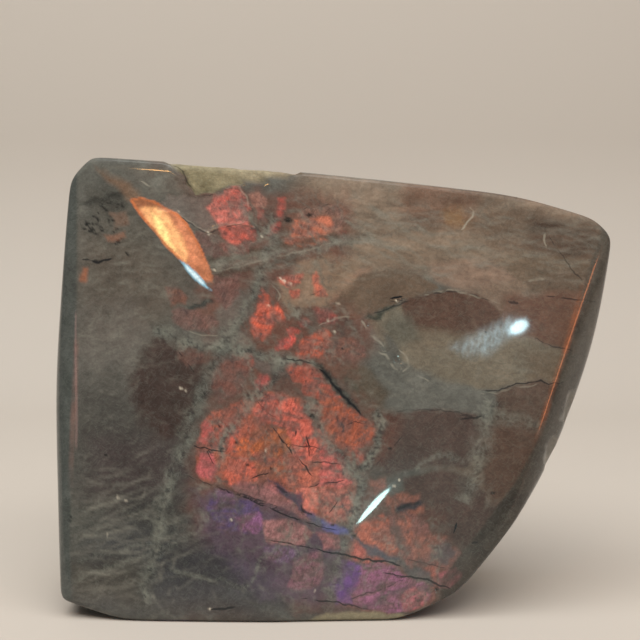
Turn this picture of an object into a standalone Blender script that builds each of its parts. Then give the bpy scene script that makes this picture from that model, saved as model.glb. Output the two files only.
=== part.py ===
"""A polished labradorite freeform that stands on its own flat base.

A lapidary makes such a stone by grinding a raw chunk against a flat wheel, one flat after
another, and then easing the edges by hand. Each flat is called a lap here. The script
works the same way: a lap is a plane, the body is everything that lies inside every lap,
and a soft maximum over the laps rounds the edges where two of them meet. What the wheel
never reached is then cut in: the natural skin on the top edge, the cleavage ledges on the
upper back, and the chips along the edges.

Frame: metres, +Z up, +X to the right of someone who looks at the polished front, which
faces -Y. The origin is the middle of the stone's footprint box, on the surface it rests on.
"""

import math

import bmesh
import bpy
import numpy as np
from mathutils import Vector, noise

MM = 0.001

# Overall reach of the stone, from the origin
LEFT_REACH = 78 * MM
RIGHT_REACH = 80 * MM
FOOT_RIGHT = 30 * MM
LEFT_HEIGHT = 125 * MM
RIGHT_HEIGHT = 106 * MM
BASE_FRONT = -25 * MM
BASE_BACK = 22 * MM

# Laps: the front leans back, and the back overhangs its foot a little
FRONT_LEAN = 12.0
BACK_LEAN = -2.0
FRONT_CROWN_RADIUS = 1300 * MM
BACK_CROWN_RADIUS = 500 * MM
EDGE_SOFTNESS = 0.8 * MM

# The point inside the stone that its surface is measured from
HEART = np.array([0.0, 5 * MM, 60 * MM])

# Folds: low ridges where the wheel changed its angle on the front, from (x, z) to (x, z).
# The surface falls away on the right of the way from start to end.
CORNER_RIDGE_START = (-66 * MM, 122 * MM)
CORNER_RIDGE_END = (-32 * MM, 86 * MM)
CORNER_RIDGE_ANGLE = 9.0
CORNER_RIDGE_REACH = 13 * MM
LOW_RIDGE_START = (6 * MM, 24 * MM)
LOW_RIDGE_END = (24 * MM, 43 * MM)
LOW_RIDGE_ANGLE = 6.0
LOW_RIDGE_REACH = 16 * MM
RIDGE_ROUNDING = 0.9 * MM
RIDGE_FADE = 9 * MM

# Natural skin that the wheel left on the top edge, as its ragged outline on the front
SKIN_OUTLINE = [
    (-48 * MM, 128 * MM), (-46 * MM, 121.5 * MM), (-43 * MM, 120.5 * MM),
    (-42 * MM, 117.5 * MM), (-39.5 * MM, 114.5 * MM), (-32.5 * MM, 115 * MM),
    (-30.5 * MM, 116.5 * MM), (-20 * MM, 118.5 * MM), (-8 * MM, 119.5 * MM),
    (-4 * MM, 128 * MM),
]
SKIN_DEPTH = 0.7 * MM
SKIN_RIM = 0.8 * MM
SKIN_BACK_EDGE = 22 * MM
SKIN_BACK_FADE = 8 * MM
SKIN_BUMP = 0.35 * MM
SKIN_BUMP_SIZE = 3.5 * MM

# A thin flake has come off below the skin
FLAKE_OUTLINE = [
    (-50 * MM, 110 * MM), (-45 * MM, 109.5 * MM), (-42 * MM, 107 * MM), (-38 * MM, 104.5 * MM),
    (-34 * MM, 105 * MM), (-24 * MM, 107 * MM), (-22.5 * MM, 112 * MM), (-25 * MM, 117 * MM),
    (-40 * MM, 117 * MM), (-46 * MM, 114 * MM),
]
FLAKE_DEPTH = 0.3 * MM

# Ledges on the upper back, where the chunk split along its cleavage: straight steps
# that climb to the right and zigzag, each a little deeper than the one below it
LEDGE_FOOT = 66 * MM
LEDGE_CLIMB = 0.42
LEDGE_PITCH = 12.5 * MM
LEDGE_DROP = 1.5 * MM
LEDGE_WALL_SHARE = 0.16
LEDGE_FLOOR_RISE = 0.5 * MM
LEDGE_ZIGZAG_WIDTH = 29 * MM
LEDGE_ZIGZAG_HEIGHT = 7 * MM
LEDGE_RAGGED = 1.6 * MM
LEDGE_RAGGED_SIZE = 7 * MM
LEDGE_DEEPEST = 4.5 * MM
LEDGE_BUMP_SHARE = 0.6

# Shell-shaped chips: a place on the surface, the radius of the scallop and its depth.
# They are longer than wide, along the edge that they sit on.
CHIPS = [
    ((68.2 * MM, -5.5 * MM, 54.5 * MM), 3.2 * MM, 0.8 * MM),
    ((61.2 * MM, -8.5 * MM, 43.0 * MM), 3.0 * MM, 0.7 * MM),
    ((66.0 * MM, 20.0 * MM, 70.0 * MM), 6.5 * MM, 1.6 * MM),
    ((-75.5 * MM, 16.0 * MM, 34.0 * MM), 6.0 * MM, 1.5 * MM),
    ((-36.0 * MM, 21.0 * MM, 5.0 * MM), 6.5 * MM, 1.6 * MM),
]
CHIP_STRETCH = 1.9

# How far a surface must turn towards the front or the back to count as facing it
FACING_FADE = 0.4

# The mesh: spacing of the first grid, how close its lines crowd to the edges, and the
# share of triangles that is kept
GRID_SPACING = 2.2 * MM
GRID_CROWDING = 0.62
KEPT_SHARE = 0.3

STONE_COLOUR = (0.10, 0.085, 0.072, 1.0)
STONE_ROUGHNESS = 0.18


def lap(turn, tilt, through):
    """One flat: the direction it faces and a point on it, in millimetres.

    turn is 0 for a flat that faces the front, 90 for the right side and 180 for the back.
    tilt is how far it faces up, or down if negative, in degrees.
    """
    turn = math.radians(turn)
    tilt = math.radians(tilt)
    facing = np.array([
        math.sin(turn) * math.cos(tilt),
        -math.cos(turn) * math.cos(tilt),
        math.sin(tilt),
    ])
    return facing, np.array(through) * MM


FRONT_LAP = lap(0, FRONT_LEAN, (0, BASE_FRONT / MM, 0))
BACK_LAP = lap(180, BACK_LEAN, (0, BASE_BACK / MM, 0))

SIDE_LAPS = [
    # left side and its round top corner
    lap(-90, -4.2, (-78.0, 0, 50)),
    lap(-90, 3.4, (-78.0, 0, 78)),
    lap(-90, 45, (-73.6, 0, 121.6)),
    # top, falling to the right
    lap(90, 86.3, (-35, 0, 124.2)),
    lap(90, 83.5, (23, 0, 118.7)),
    lap(90, 73, (66, 0, 111.3)),
    lap(90, 42, (78.2, 0, 105.0)),
    # right side, turning under towards the base
    lap(90, -6, (79.3, 0, 98)),
    lap(90, -12, (77.3, 0, 82)),
    lap(90, -19, (72.2, 0, 63.5)),
    lap(90, -24, (64.8, 0, 46.5)),
    lap(90, -33, (53.8, 0, 28.5)),
    lap(90, -40.5, (39.2, 0, 12.3)),
    lap(90, -66, (25.6, 0, 3.0)),
]

BEVEL_LAPS = [
    # front edges
    lap(-48.5, 8, (-71.6, -11.2, 65)),
    lap(44.5, -6, (62.6, -11.0, 66)),
    lap(-57, -68, (-58.7, -24.7, 0.9)),
    # back edges
    lap(-128, 4, (-71.0, 20.0, 60)),
    lap(136, -9, (63.0, 22.5, 60)),
    lap(176, 42, (0, 22.0, 113.5)),
    lap(-158, 5, (-52.0, 24.5, 60)),
]

BASE_LAP = lap(0, -90, (0, 0, -0.3))


def remove_everything():
    """Start from an empty scene."""
    for item in list(bpy.data.objects):
        bpy.data.objects.remove(item, do_unlink=True)


def above_lap(points, a_lap):
    """How far each point stands outside a lap, negative inside."""
    facing, through = a_lap
    return (points - through) @ facing


def crown(points, centre_height, radius):
    """How far a hand-lapped face falls away from its flat, at each point."""
    across = points[:, 0]
    up = points[:, 2] - centre_height
    return (across ** 2 + up ** 2) / (2 * radius)


def fold(points, start, end, angle, reach):
    """A low ridge on the front: the drop on its far side, levelling out over its reach."""
    start = np.array(start)
    along = np.array(end) - start
    length = np.linalg.norm(along)
    along = along / length
    offset = points[:, [0, 2]] - start
    way = offset @ along
    beside = offset @ np.array([along[1], -along[0]])
    past_ridge = RIDGE_ROUNDING * np.logaddexp(0, beside / RIDGE_ROUNDING)
    drop = math.tan(math.radians(angle)) * reach * (1 - np.exp(-past_ridge / reach))
    strength = 1 / (1 + np.exp((way - length) / RIDGE_FADE))
    return drop * strength


def front_value(points):
    """The front lap with its crown and its two low ridges."""
    value = above_lap(points, FRONT_LAP) + crown(points, HEART[2], FRONT_CROWN_RADIUS)
    value += fold(points, CORNER_RIDGE_START, CORNER_RIDGE_END,
                  CORNER_RIDGE_ANGLE, CORNER_RIDGE_REACH)
    value += fold(points, LOW_RIDGE_START, LOW_RIDGE_END, LOW_RIDGE_ANGLE, LOW_RIDGE_REACH)
    return value


def ragged_line(across, up):
    """Smooth irregular swing about -1 to 1, for edges that broke by hand."""
    a = across / LEDGE_RAGGED_SIZE
    b = up / LEDGE_RAGGED_SIZE
    slow = np.sin(1.1 * a + 0.7 * b + 0.4) + 0.7 * np.sin(2.3 * a - 1.3 * b + 2.0)
    return 0.5 * (slow + 0.4 * np.sin(4.9 * a + 0.9 * b + 1.0))


def ledge_steps(points):
    """How many cleavage ledges up each point of the back lies, 0 below the first."""
    across, up = points[:, 0], points[:, 2]
    swing = LEDGE_ZIGZAG_HEIGHT * np.abs((across / LEDGE_ZIGZAG_WIDTH) % 2 - 1)
    foot = LEDGE_FOOT + LEDGE_CLIMB * (across + LEFT_REACH) + swing
    return (up - foot + LEDGE_RAGGED * ragged_line(across, up)) / LEDGE_PITCH


def ledge_drop(points):
    """How far the back has split away, in steps with short walls and slanting floors."""
    steps = np.maximum(ledge_steps(points), 0)
    whole = np.floor(steps)
    on_floor = steps - whole
    wall = np.clip(on_floor / LEDGE_WALL_SHARE, 0, 1)
    wall = wall * wall * (3 - 2 * wall)
    drop = LEDGE_DROP * (whole + wall) - LEDGE_FLOOR_RISE * on_floor
    return np.clip(drop, 0, LEDGE_DEEPEST)


def back_value(points):
    """The back lap with its crown and its ledges."""
    value = above_lap(points, BACK_LAP) + crown(points, HEART[2], BACK_CROWN_RADIUS)
    return value + ledge_drop(points)


def body_value(points):
    """Soft maximum over every lap: zero on the stone's surface, negative inside."""
    values = [above_lap(points, a_lap) for a_lap in SIDE_LAPS + BEVEL_LAPS + [BASE_LAP]]
    values.append(front_value(points))
    values.append(back_value(points))
    values = np.array(values) / EDGE_SOFTNESS
    highest = values.max(axis=0)
    return EDGE_SOFTNESS * (highest + np.log(np.exp(values - highest).sum(axis=0)))


def surface_points(directions):
    """The point where each direction from the heart leaves the stone, by halving."""
    near = np.zeros(len(directions))
    far = np.full(len(directions), 2 * RIGHT_REACH)
    for _ in range(32):
        middle = (near + far) / 2
        inside = body_value(HEART + directions * middle[:, None]) < 0
        near = np.where(inside, middle, near)
        far = np.where(inside, far, middle)
    return HEART + directions * near[:, None]


def surface_normals(points):
    """Outward direction of the surface, from small steps along each axis."""
    step = 0.05 * MM
    slopes = []
    for axis in np.eye(3):
        ahead = body_value(points + axis * step)
        behind = body_value(points - axis * step)
        slopes.append(ahead - behind)
    slopes = np.array(slopes).T
    return slopes / np.linalg.norm(slopes, axis=1, keepdims=True)


def inside_outline(points, outline, soften):
    """1 well inside an outline drawn on the front, 0 outside, with an edge this soft."""
    corners = np.array(outline)
    flat = points[:, [0, 2]]
    inside = np.zeros(len(flat), dtype=bool)
    nearest = np.full(len(flat), np.inf)
    for first, second in zip(corners, np.roll(corners, -1, axis=0)):
        side = second - first
        offset = flat - first
        share = np.clip(offset @ side / (side @ side), 0, 1)
        gap = np.linalg.norm(offset - share[:, None] * side, axis=1)
        nearest = np.minimum(nearest, gap)
        spans = (first[1] > flat[:, 1]) != (second[1] > flat[:, 1])
        rise = second[1] - first[1] or 1e-12
        crossing = first[0] + (flat[:, 1] - first[1]) * side[0] / rise
        inside ^= spans & (flat[:, 0] < crossing)
    signed = np.where(inside, nearest, -nearest)
    return np.clip(0.5 + signed / soften, 0, 1)


def roughness_at(points, size, seed):
    """Smooth noise about -1 to 1, with lumps of the given size."""
    shift = Vector((seed * 7.3, seed * 3.1, seed * 5.7))
    values = [noise.fractal(Vector(point) / size + shift, 0.9, 2.1, 3) for point in points]
    return np.array(values)


def skin_depth(points, normals):
    """How deep the unpolished skin, flake and ledges lie below the ground form."""
    before_back = np.clip((SKIN_BACK_EDGE - points[:, 1]) / SKIN_BACK_FADE, 0, 1)
    patch = inside_outline(points, SKIN_OUTLINE, SKIN_RIM) * before_back
    facing_front = np.clip(-normals[:, 1] / FACING_FADE - 1, 0, 1)
    flake = inside_outline(points, FLAKE_OUTLINE, SKIN_RIM) * facing_front
    facing_back = np.clip(normals[:, 1] / FACING_FADE, 0, 1)
    ledges = np.clip(ledge_steps(points) / LEDGE_WALL_SHARE, 0, 1) * facing_back
    bumps = SKIN_BUMP * roughness_at(points, SKIN_BUMP_SIZE, 1)
    flat_depth = patch * SKIN_DEPTH + flake * FLAKE_DEPTH * (1 - patch)
    return flat_depth + bumps * np.maximum(patch, LEDGE_BUMP_SHARE * ledges)


def chip_depth(points):
    """How deep each point lies inside the long scallop of a chip."""
    depth = np.zeros(len(points))
    for place, radius, chip in CHIPS:
        offset = points - np.array(place)
        offset[:, 2] /= CHIP_STRETCH
        spread = np.linalg.norm(offset, axis=1) / radius
        depth = np.maximum(depth, chip * (1 - spread ** 2))
    return depth


def crowded(places):
    """Move even places between -1 and 1 towards the ends, where the edges are."""
    quarter = GRID_CROWDING * math.pi / 2
    return np.sin(places * quarter) / math.sin(quarter)


def preform(places):
    """The sawn block: shares of width, depth and height from 0 to 1, turned to places.

    Its sides already slant as the stone's do, so that the grid's lines follow the edges.
    """
    share_x, share_y, share_z = places.T
    right = FOOT_RIGHT + (RIGHT_REACH - FOOT_RIGHT) * np.sin(share_z * math.pi / 2)
    across = -LEFT_REACH + (right + LEFT_REACH) * share_x
    fall = (LEFT_HEIGHT - RIGHT_HEIGHT) / (LEFT_REACH + RIGHT_REACH)
    up = (LEFT_HEIGHT - fall * (across + LEFT_REACH)) * share_z
    front = BASE_FRONT + up * math.tan(math.radians(FRONT_LEAN))
    back = BASE_BACK - up * math.tan(math.radians(BACK_LEAN))
    return np.array([across, front + (back - front) * share_y, up]).T


def grid_block():
    """A block cut into a grid of faces on all six sides, sawn to the preform."""
    sizes = (LEFT_REACH + RIGHT_REACH, BASE_BACK - BASE_FRONT, LEFT_HEIGHT)
    block = bmesh.new()
    bmesh.ops.create_cube(block, size=2.0)
    for axis, size in enumerate(sizes):
        edges = []
        for edge in block.edges:
            along = edge.verts[1].co - edge.verts[0].co
            if abs(along[axis]) > 1.9:
                edges.append(edge)
        cuts = round(size / GRID_SPACING) - 1
        bmesh.ops.subdivide_edges(block, edges=edges, cuts=cuts, use_grid_fill=True)
    places = np.array([corner.co for corner in block.verts])
    return block, preform((crowded(places) + 1) / 2)


def make_stone_mesh():
    """The ground and chipped body, as a fine even mesh."""
    block, places = grid_block()
    directions = places - HEART
    directions /= np.linalg.norm(directions, axis=1, keepdims=True)
    points = surface_points(directions)
    normals = surface_normals(points)
    depth = np.maximum(skin_depth(points, normals), chip_depth(points))
    points = points - normals * depth[:, None]
    footprint_middle = (points.min(axis=0) + points.max(axis=0)) / 2
    points[:, :2] -= footprint_middle[:2]
    for corner, point in zip(block.verts, points):
        corner.co = point
    bmesh.ops.recalc_face_normals(block, faces=block.faces)
    mesh = bpy.data.meshes.new("labradorite")
    block.to_mesh(mesh)
    block.free()
    return mesh


def make_material():
    """Polished grey-brown feldspar."""
    material = bpy.data.materials.new("labradorite")
    material.use_nodes = True
    shader = material.node_tree.nodes["Principled BSDF"]
    shader.inputs["Base Color"].default_value = STONE_COLOUR
    shader.inputs["Roughness"].default_value = STONE_ROUGHNESS
    shader.inputs["Metallic"].default_value = 0.0
    return material


def make_base_cutter():
    """A block under the stone that grinds its foot flat."""
    bpy.ops.mesh.primitive_cube_add(size=1.0, location=(0, 0, -20 * MM))
    cutter = bpy.context.object
    cutter.name = "base_cutter"
    cutter.dimensions = (220 * MM, 120 * MM, 40 * MM)
    cutter.hide_render = True
    cutter.display_type = "WIRE"
    return cutter


def make_stone(cutter):
    """The stone, thinned to few triangles and cut flat underneath."""
    stone = bpy.data.objects.new("labradorite", make_stone_mesh())
    bpy.context.collection.objects.link(stone)
    stone.data.materials.append(make_material())
    stone.data.shade_smooth()
    thin = stone.modifiers.new("fewer triangles", "DECIMATE")
    thin.ratio = KEPT_SHARE
    flat = stone.modifiers.new("flat base", "BOOLEAN")
    flat.operation = "DIFFERENCE"
    flat.solver = "EXACT"
    flat.object = cutter
    return stone


def main():
    remove_everything()
    make_stone(make_base_cutter())


main()
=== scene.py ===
# %% [markdown]
# # A polished labradorite freeform
# Labradorite is a grey-brown feldspar. Cut and polished, it throws back flashes of orange,
# red and violet from thin layers inside the crystal. This lesson dresses one stone that
# stands on its own ground foot. First we grind its surface finely, then we paint what lies
# under the polish as vertex attributes, and last we give it a clear, glossy finish.
# The imported solid already holds the stone's size, and the laps here repeat its measures.

# %% Load the solid and keep its box
import math

import bmesh
import bpy
import numpy as np
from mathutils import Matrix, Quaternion, Vector


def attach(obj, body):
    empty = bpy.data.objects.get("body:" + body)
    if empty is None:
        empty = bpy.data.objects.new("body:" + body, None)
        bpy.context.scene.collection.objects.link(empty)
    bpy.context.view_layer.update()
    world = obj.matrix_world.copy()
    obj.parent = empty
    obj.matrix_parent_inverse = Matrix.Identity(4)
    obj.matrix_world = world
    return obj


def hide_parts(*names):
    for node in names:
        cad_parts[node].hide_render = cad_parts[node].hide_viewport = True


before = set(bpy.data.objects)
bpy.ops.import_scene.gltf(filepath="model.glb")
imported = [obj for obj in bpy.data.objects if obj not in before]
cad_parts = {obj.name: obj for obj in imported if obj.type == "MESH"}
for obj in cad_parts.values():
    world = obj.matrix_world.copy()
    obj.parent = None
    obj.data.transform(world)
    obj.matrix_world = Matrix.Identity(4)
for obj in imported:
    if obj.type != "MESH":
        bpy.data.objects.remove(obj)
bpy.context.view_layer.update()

MM = 0.001
STONE_NODE = "labradorite"

# %% [markdown]
# ## The laps
# A lapidary grinds a stone flat by flat on a wheel; each flat is a lap. Written as planes,
# the laps give a shape that we can sample as finely as we like, which a low-polygon solid
# can't. We repeat the laps of the solid here, in millimetres. A lap is the way it faces
# (turn from the front, tilt upwards) and one point on it.

# %% Name every lap
FRONT_LEAN = 12.0
BACK_LEAN = -2.0
FRONT_FOOT = -25.0
BACK_FOOT = 22.0
FRONT_CROWN_RADIUS = 1300.0
BACK_CROWN_RADIUS = 500.0
EDGE_SOFTNESS = 0.8
HEART = np.array([0.0, 5.0, 60.0])


def lap(turn, tilt, through):
    """The way a flat faces and a point on it."""
    turn, tilt = math.radians(turn), math.radians(tilt)
    facing = (math.sin(turn) * math.cos(tilt), -math.cos(turn) * math.cos(tilt), math.sin(tilt))
    return np.array(facing), np.array(through, float)


FRONT_LAP = lap(0, FRONT_LEAN, (0, FRONT_FOOT, 0))
BACK_LAP = lap(180, BACK_LEAN, (0, BACK_FOOT, 0))
LEFT_LAPS = [lap(-90, -4.2, (-78, 0, 50)), lap(-90, 3.4, (-78, 0, 78)),
             lap(-90, 45, (-73.6, 0, 121.6))]
TOP_LAPS = [lap(90, 86.3, (-35, 0, 124.2)), lap(90, 83.5, (23, 0, 118.7)),
            lap(90, 73, (66, 0, 111.3)), lap(90, 42, (78.2, 0, 105))]
RIGHT_LAPS = [lap(90, -6, (79.3, 0, 98)), lap(90, -12, (77.3, 0, 82)),
              lap(90, -19, (72.2, 0, 63.5)), lap(90, -24, (64.8, 0, 46.5)),
              lap(90, -33, (53.8, 0, 28.5)), lap(90, -40.5, (39.2, 0, 12.3)),
              lap(90, -66, (25.6, 0, 3))]
FRONT_BEVELS = [lap(-48.5, 8, (-71.6, -11.2, 65)), lap(44.5, -6, (62.6, -11, 66)),
                lap(-57, -68, (-58.7, -24.7, 0.9))]
BACK_BEVELS = [lap(-128, 4, (-71, 20, 60)), lap(136, -9, (63, 22.5, 60)),
               lap(176, 42, (0, 22, 113.5)), lap(-158, 5, (-52, 24.5, 60))]
FOOT_LAP = lap(0, -90, (0, 0, -0.3))
EDGE_LAPS = LEFT_LAPS + TOP_LAPS + RIGHT_LAPS + FRONT_BEVELS + BACK_BEVELS + [FOOT_LAP]
print(len(EDGE_LAPS) + 2, "laps")

# %% [markdown]
# ## Ridges and ledges
# The front isn't one flat: where the wheel changed its angle, a low ridge runs across the
# polish and catches the light. On the upper back the chunk split along its cleavage and was
# left so, in straight steps. Sculpting them would lose the straight lines, so both are
# formulas, an extra drop below their lap.

# %% Ridges on the front
RIDGE_ROUNDING = 0.9
RIDGE_FADE = 9.0
CORNER_RIDGE = dict(start=(-66, 122), end=(-32, 86), angle=9.0, reach=13.0)
LOW_RIDGE = dict(start=(6, 24), end=(24, 43), angle=6.0, reach=16.0)


def fold(points, start, end, angle, reach):
    """The drop on the far side of a low ridge, levelling out over its reach."""
    start = np.array(start, float)
    along = np.array(end) - start
    length = np.linalg.norm(along)
    along = along / length
    offset = points[:, [0, 2]] - start
    way = offset @ along
    beside = offset @ np.array([along[1], -along[0]])
    past = RIDGE_ROUNDING * np.logaddexp(0, beside / RIDGE_ROUNDING)
    drop = math.tan(math.radians(angle)) * reach * (1 - np.exp(-past / reach))
    return drop / (1 + np.exp((way - length) / RIDGE_FADE))


print("two ridges, turned", CORNER_RIDGE["angle"], "and", LOW_RIDGE["angle"], "degrees")

# %% Ledges on the back
LEDGE_FOOT = 66.0
LEDGE_CLIMB = 0.42
LEDGE_PITCH = 12.5
LEDGE_DROP = 1.5
LEDGE_WALL_SHARE = 0.16
LEDGE_FLOOR_RISE = 0.5
LEDGE_ZIGZAG = (29.0, 7.0)
LEDGE_RAGGED = 1.6
LEDGE_RAGGED_SIZE = 7.0
LEDGE_DEEPEST = 4.5
LEFT_REACH = 78.0


def ragged_line(across, up):
    """Smooth irregular swing for edges that broke by hand."""
    a, b = across / LEDGE_RAGGED_SIZE, up / LEDGE_RAGGED_SIZE
    slow = np.sin(1.1 * a + 0.7 * b + 0.4) + 0.7 * np.sin(2.3 * a - 1.3 * b + 2.0)
    return 0.5 * (slow + 0.4 * np.sin(4.9 * a + 0.9 * b + 1.0))


def ledge_steps(points):
    """How many cleavage ledges up each point of the back lies, 0 below the first."""
    across, up = points[:, 0], points[:, 2]
    swing = LEDGE_ZIGZAG[1] * np.abs((across / LEDGE_ZIGZAG[0]) % 2 - 1)
    foot = LEDGE_FOOT + LEDGE_CLIMB * (across + LEFT_REACH) + swing
    return (up - foot + LEDGE_RAGGED * ragged_line(across, up)) / LEDGE_PITCH


def ledge_drop(points):
    """How far the back has split away."""
    steps = np.maximum(ledge_steps(points), 0)
    on_floor = steps - np.floor(steps)
    wall = np.clip(on_floor / LEDGE_WALL_SHARE, 0, 1)
    wall = wall * wall * (3 - 2 * wall)
    drop = LEDGE_DROP * (np.floor(steps) + wall) - LEDGE_FLOOR_RISE * on_floor
    return np.clip(drop, 0, LEDGE_DEEPEST)


print("ledges start", LEDGE_FOOT, "mm up and drop at most", LEDGE_DEEPEST, "mm")

# %% [markdown]
# ## The body
# Cutting a block with one Boolean after another would leave every edge razor-sharp. A soft
# maximum over all laps is zero on the surface and rounds each edge a little, as a hand does
# on the last, finest wheel. From a point inside, the heart, we walk outwards in each
# direction until the value changes sign.

# %% The body's value
def above_lap(points, a_lap):
    """How far each point stands outside a lap."""
    return (points - a_lap[1]) @ a_lap[0]


def crown(points, radius):
    """How far a hand-lapped face falls away from its flat."""
    return (points[:, 0] ** 2 + (points[:, 2] - HEART[2]) ** 2) / (2 * radius)


def front_fall(points):
    """How far the front lies below its flat: crown and ridges."""
    ridges_fall = fold(points, **CORNER_RIDGE) + fold(points, **LOW_RIDGE)
    return crown(points, FRONT_CROWN_RADIUS) + ridges_fall


def body_value(points):
    """Zero on the stone's surface, negative inside."""
    front = above_lap(points, FRONT_LAP) + front_fall(points)
    back = above_lap(points, BACK_LAP) + crown(points, BACK_CROWN_RADIUS) + ledge_drop(points)
    values = np.array([above_lap(points, a_lap) for a_lap in EDGE_LAPS] + [front, back])
    values /= EDGE_SOFTNESS
    highest = values.max(axis=0)
    return EDGE_SOFTNESS * (highest + np.log(np.exp(values - highest).sum(axis=0)))


print("the heart lies", round(-float(body_value(HEART[None])[0]), 1), "mm inside")

# %% Its surface and its normals
FARTHEST = 160.0
HALVINGS = 30
SLOPE_STEP = 0.05


def surface_points(directions):
    """Where each direction from the heart leaves the stone, by halving."""
    near, far = np.zeros(len(directions)), np.full(len(directions), FARTHEST)
    for _ in range(HALVINGS):
        middle = (near + far) / 2
        inside = body_value(HEART + directions * middle[:, None]) < 0
        near, far = np.where(inside, middle, near), np.where(inside, far, middle)
    return HEART + directions * near[:, None]


def surface_normals(points):
    """Outward direction of the surface."""
    steps = SLOPE_STEP * np.eye(3)
    slopes = np.array([body_value(points + s) - body_value(points - s) for s in steps]).T
    return slopes / np.linalg.norm(slopes, axis=1, keepdims=True)


print("front reached at", np.round(surface_points(np.array([[0.0, -1.0, 0.0]]))[0], 1))

# %% [markdown]
# ## A fine grid
# We start from a block that already slants and bulges as the stone does, cut it into even
# squares, and cut the front twice as finely, because the front carries the drawing. That
# puts a point about every half millimetre where the eye looks, and keeps the whole piece
# under two hundred thousand triangles.

# %% Shape the block as it came off the saw
GRID_SPACING = (1.14, 1.7, 1.14)
GRID_CROWDING = 0.45
BLOCK_SIZE = (158.0, 47.0, 125.0)
FOOT_RIGHT = 30.0
RIGHT_REACH = 80.0
RIGHT_HEIGHT = 106.0


def preform(share):
    """Shares of width, depth and height from 0 to 1, as places in the sawn block."""
    right = FOOT_RIGHT + (RIGHT_REACH - FOOT_RIGHT) * np.sin(share[:, 2] * math.pi / 2)
    across = -LEFT_REACH + (right + LEFT_REACH) * share[:, 0]
    fall = (BLOCK_SIZE[2] - RIGHT_HEIGHT) / (LEFT_REACH + RIGHT_REACH)
    up = (BLOCK_SIZE[2] - fall * (across + LEFT_REACH)) * share[:, 2]
    flat = np.array([across, up * 0, up]).T
    front_lean, back_lean = math.radians(FRONT_LEAN), math.radians(BACK_LEAN)
    front = FRONT_FOOT + (up * math.sin(front_lean) + front_fall(flat)) / math.cos(front_lean)
    back_fall = (up * math.sin(back_lean) + crown(flat, BACK_CROWN_RADIUS)) / math.cos(back_lean)
    back = BACK_FOOT - back_fall
    return np.array([across, front + (back - front) * share[:, 1], up]).T


def crowded(places):
    """Move even places between -1 and 1 towards the ends, where the edges are."""
    quarter = GRID_CROWDING * math.pi / 2
    return np.sin(places * quarter) / math.sin(quarter)


print("block is", BLOCK_SIZE, "mm")


# %% Cut the block into a grid and walk out to the surface
def cut_block():
    """The block as a grid on all six sides, twice as fine on the front."""
    block = bmesh.new()
    bmesh.ops.create_cube(block, size=2.0)
    for axis in range(3):
        edges = [e for e in block.edges if abs((e.verts[1].co - e.verts[0].co)[axis]) > 1.9]
        cuts = round(BLOCK_SIZE[axis] / GRID_SPACING[axis]) - 1
        bmesh.ops.subdivide_edges(block, edges=edges, cuts=cuts, use_grid_fill=True)
    front_edges = {e for f in block.faces if f.normal.y < -0.9 for e in f.edges}
    bmesh.ops.subdivide_edges(block, edges=list(front_edges), cuts=1, use_grid_fill=True)
    return block


block = cut_block()
places = np.array([corner.co for corner in block.verts])
directions = preform((crowded(places) + 1) / 2) - HEART
directions /= np.linalg.norm(directions, axis=1, keepdims=True)
points = surface_points(directions)
normals = surface_normals(points)
print(len(points), "points on", len(block.faces), "faces")

# %% [markdown]
# ## Clouds of noise
# Stone is never even. Value noise, smooth random lumps of a chosen size, drives the bumps
# of the natural skin now and the colours later. Blender's own noise functions take one
# point at a time; one seeded box of random numbers serves all points at once, and the stone
# comes out the same each time.

# %% Seeded noise
LATTICE_SIDE = 32
LATTICE = np.random.default_rng(4).random((LATTICE_SIDE,) * 3)
SEED_STRIDE = np.array([5.17, 9.31, 3.73])
OCTAVE_FADE = 0.55
CLOUD_GAIN = 1.8


def lumps(places3, seed):
    """Smooth noise from 0 to 1 with lumps one unit wide."""
    q = places3 + seed * SEED_STRIDE
    whole = np.floor(q).astype(int)
    f = q - whole
    f = f * f * (3 - 2 * f)
    total = np.zeros(len(q))
    for dx in (0, 1):
        for dy in (0, 1):
            for dz in (0, 1):
                corner = (whole + (dx, dy, dz)) % LATTICE_SIDE
                weight = np.abs(1 - dx - f[:, 0]) * np.abs(1 - dy - f[:, 1])
                weight = weight * np.abs(1 - dz - f[:, 2])
                total += weight * LATTICE[corner[:, 0], corner[:, 1], corner[:, 2]]
    return total


def clouds(places3, size, seed, octaves=3):
    """Noise from about -1 to 1: lumps of the given size, and finer ones on them."""
    total, strength, reach = np.zeros(len(places3)), 1.0, 0.0
    for octave in range(octaves):
        total += strength * (lumps(places3 / size * 2 ** octave, seed + octave) * 2 - 1)
        reach += strength
        strength *= OCTAVE_FADE
    return total / reach * CLOUD_GAIN


print("noise box holds", LATTICE.size, "numbers")


# %% Steps, streaks and ridges out of noise
def smooth(low, high, value):
    """0 below low, 1 above high, smooth between."""
    t = np.clip((value - low) / (high - low), 0, 1)
    return t * t * (3 - 2 * t)


def brush(spots, angle, length, width, seed, octaves=2):
    """Streaky noise over flat spots, its streaks rising to the right by an angle."""
    turn = math.radians(angle)
    along = spots[:, 0] * math.cos(turn) - spots[:, 1] * math.sin(turn)
    across = spots[:, 0] * math.sin(turn) + spots[:, 1] * math.cos(turn)
    return clouds(np.column_stack([along / length, across / width, along * 0]), 1.0, seed, octaves)


def ridges(places3, size, seed, octaves=3):
    """Noise that peaks at 1 along thin winding lines."""
    return 1 - np.abs(clouds(places3, size, seed, octaves))


def sway(places3, reach, size, seeds, octaves):
    """A push right and down at each place, by noise, which frays a straight outline."""
    return reach * np.array([clouds(places3, size, seed, octaves) for seed in seeds]).T


print("halfway up a step from 0 to 1:", float(smooth(0, 1, 0.5)))

# %% [markdown]
# ## The camera comes early
# The drawing on the front was studied on one picture, 640 pixels square, so it is easiest
# to place it in that picture's pixels. The camera turns a point of the stone into such a
# pixel. Marks painted this way still belong to the stone: once they are on its points,
# they stay there from every side.

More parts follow.
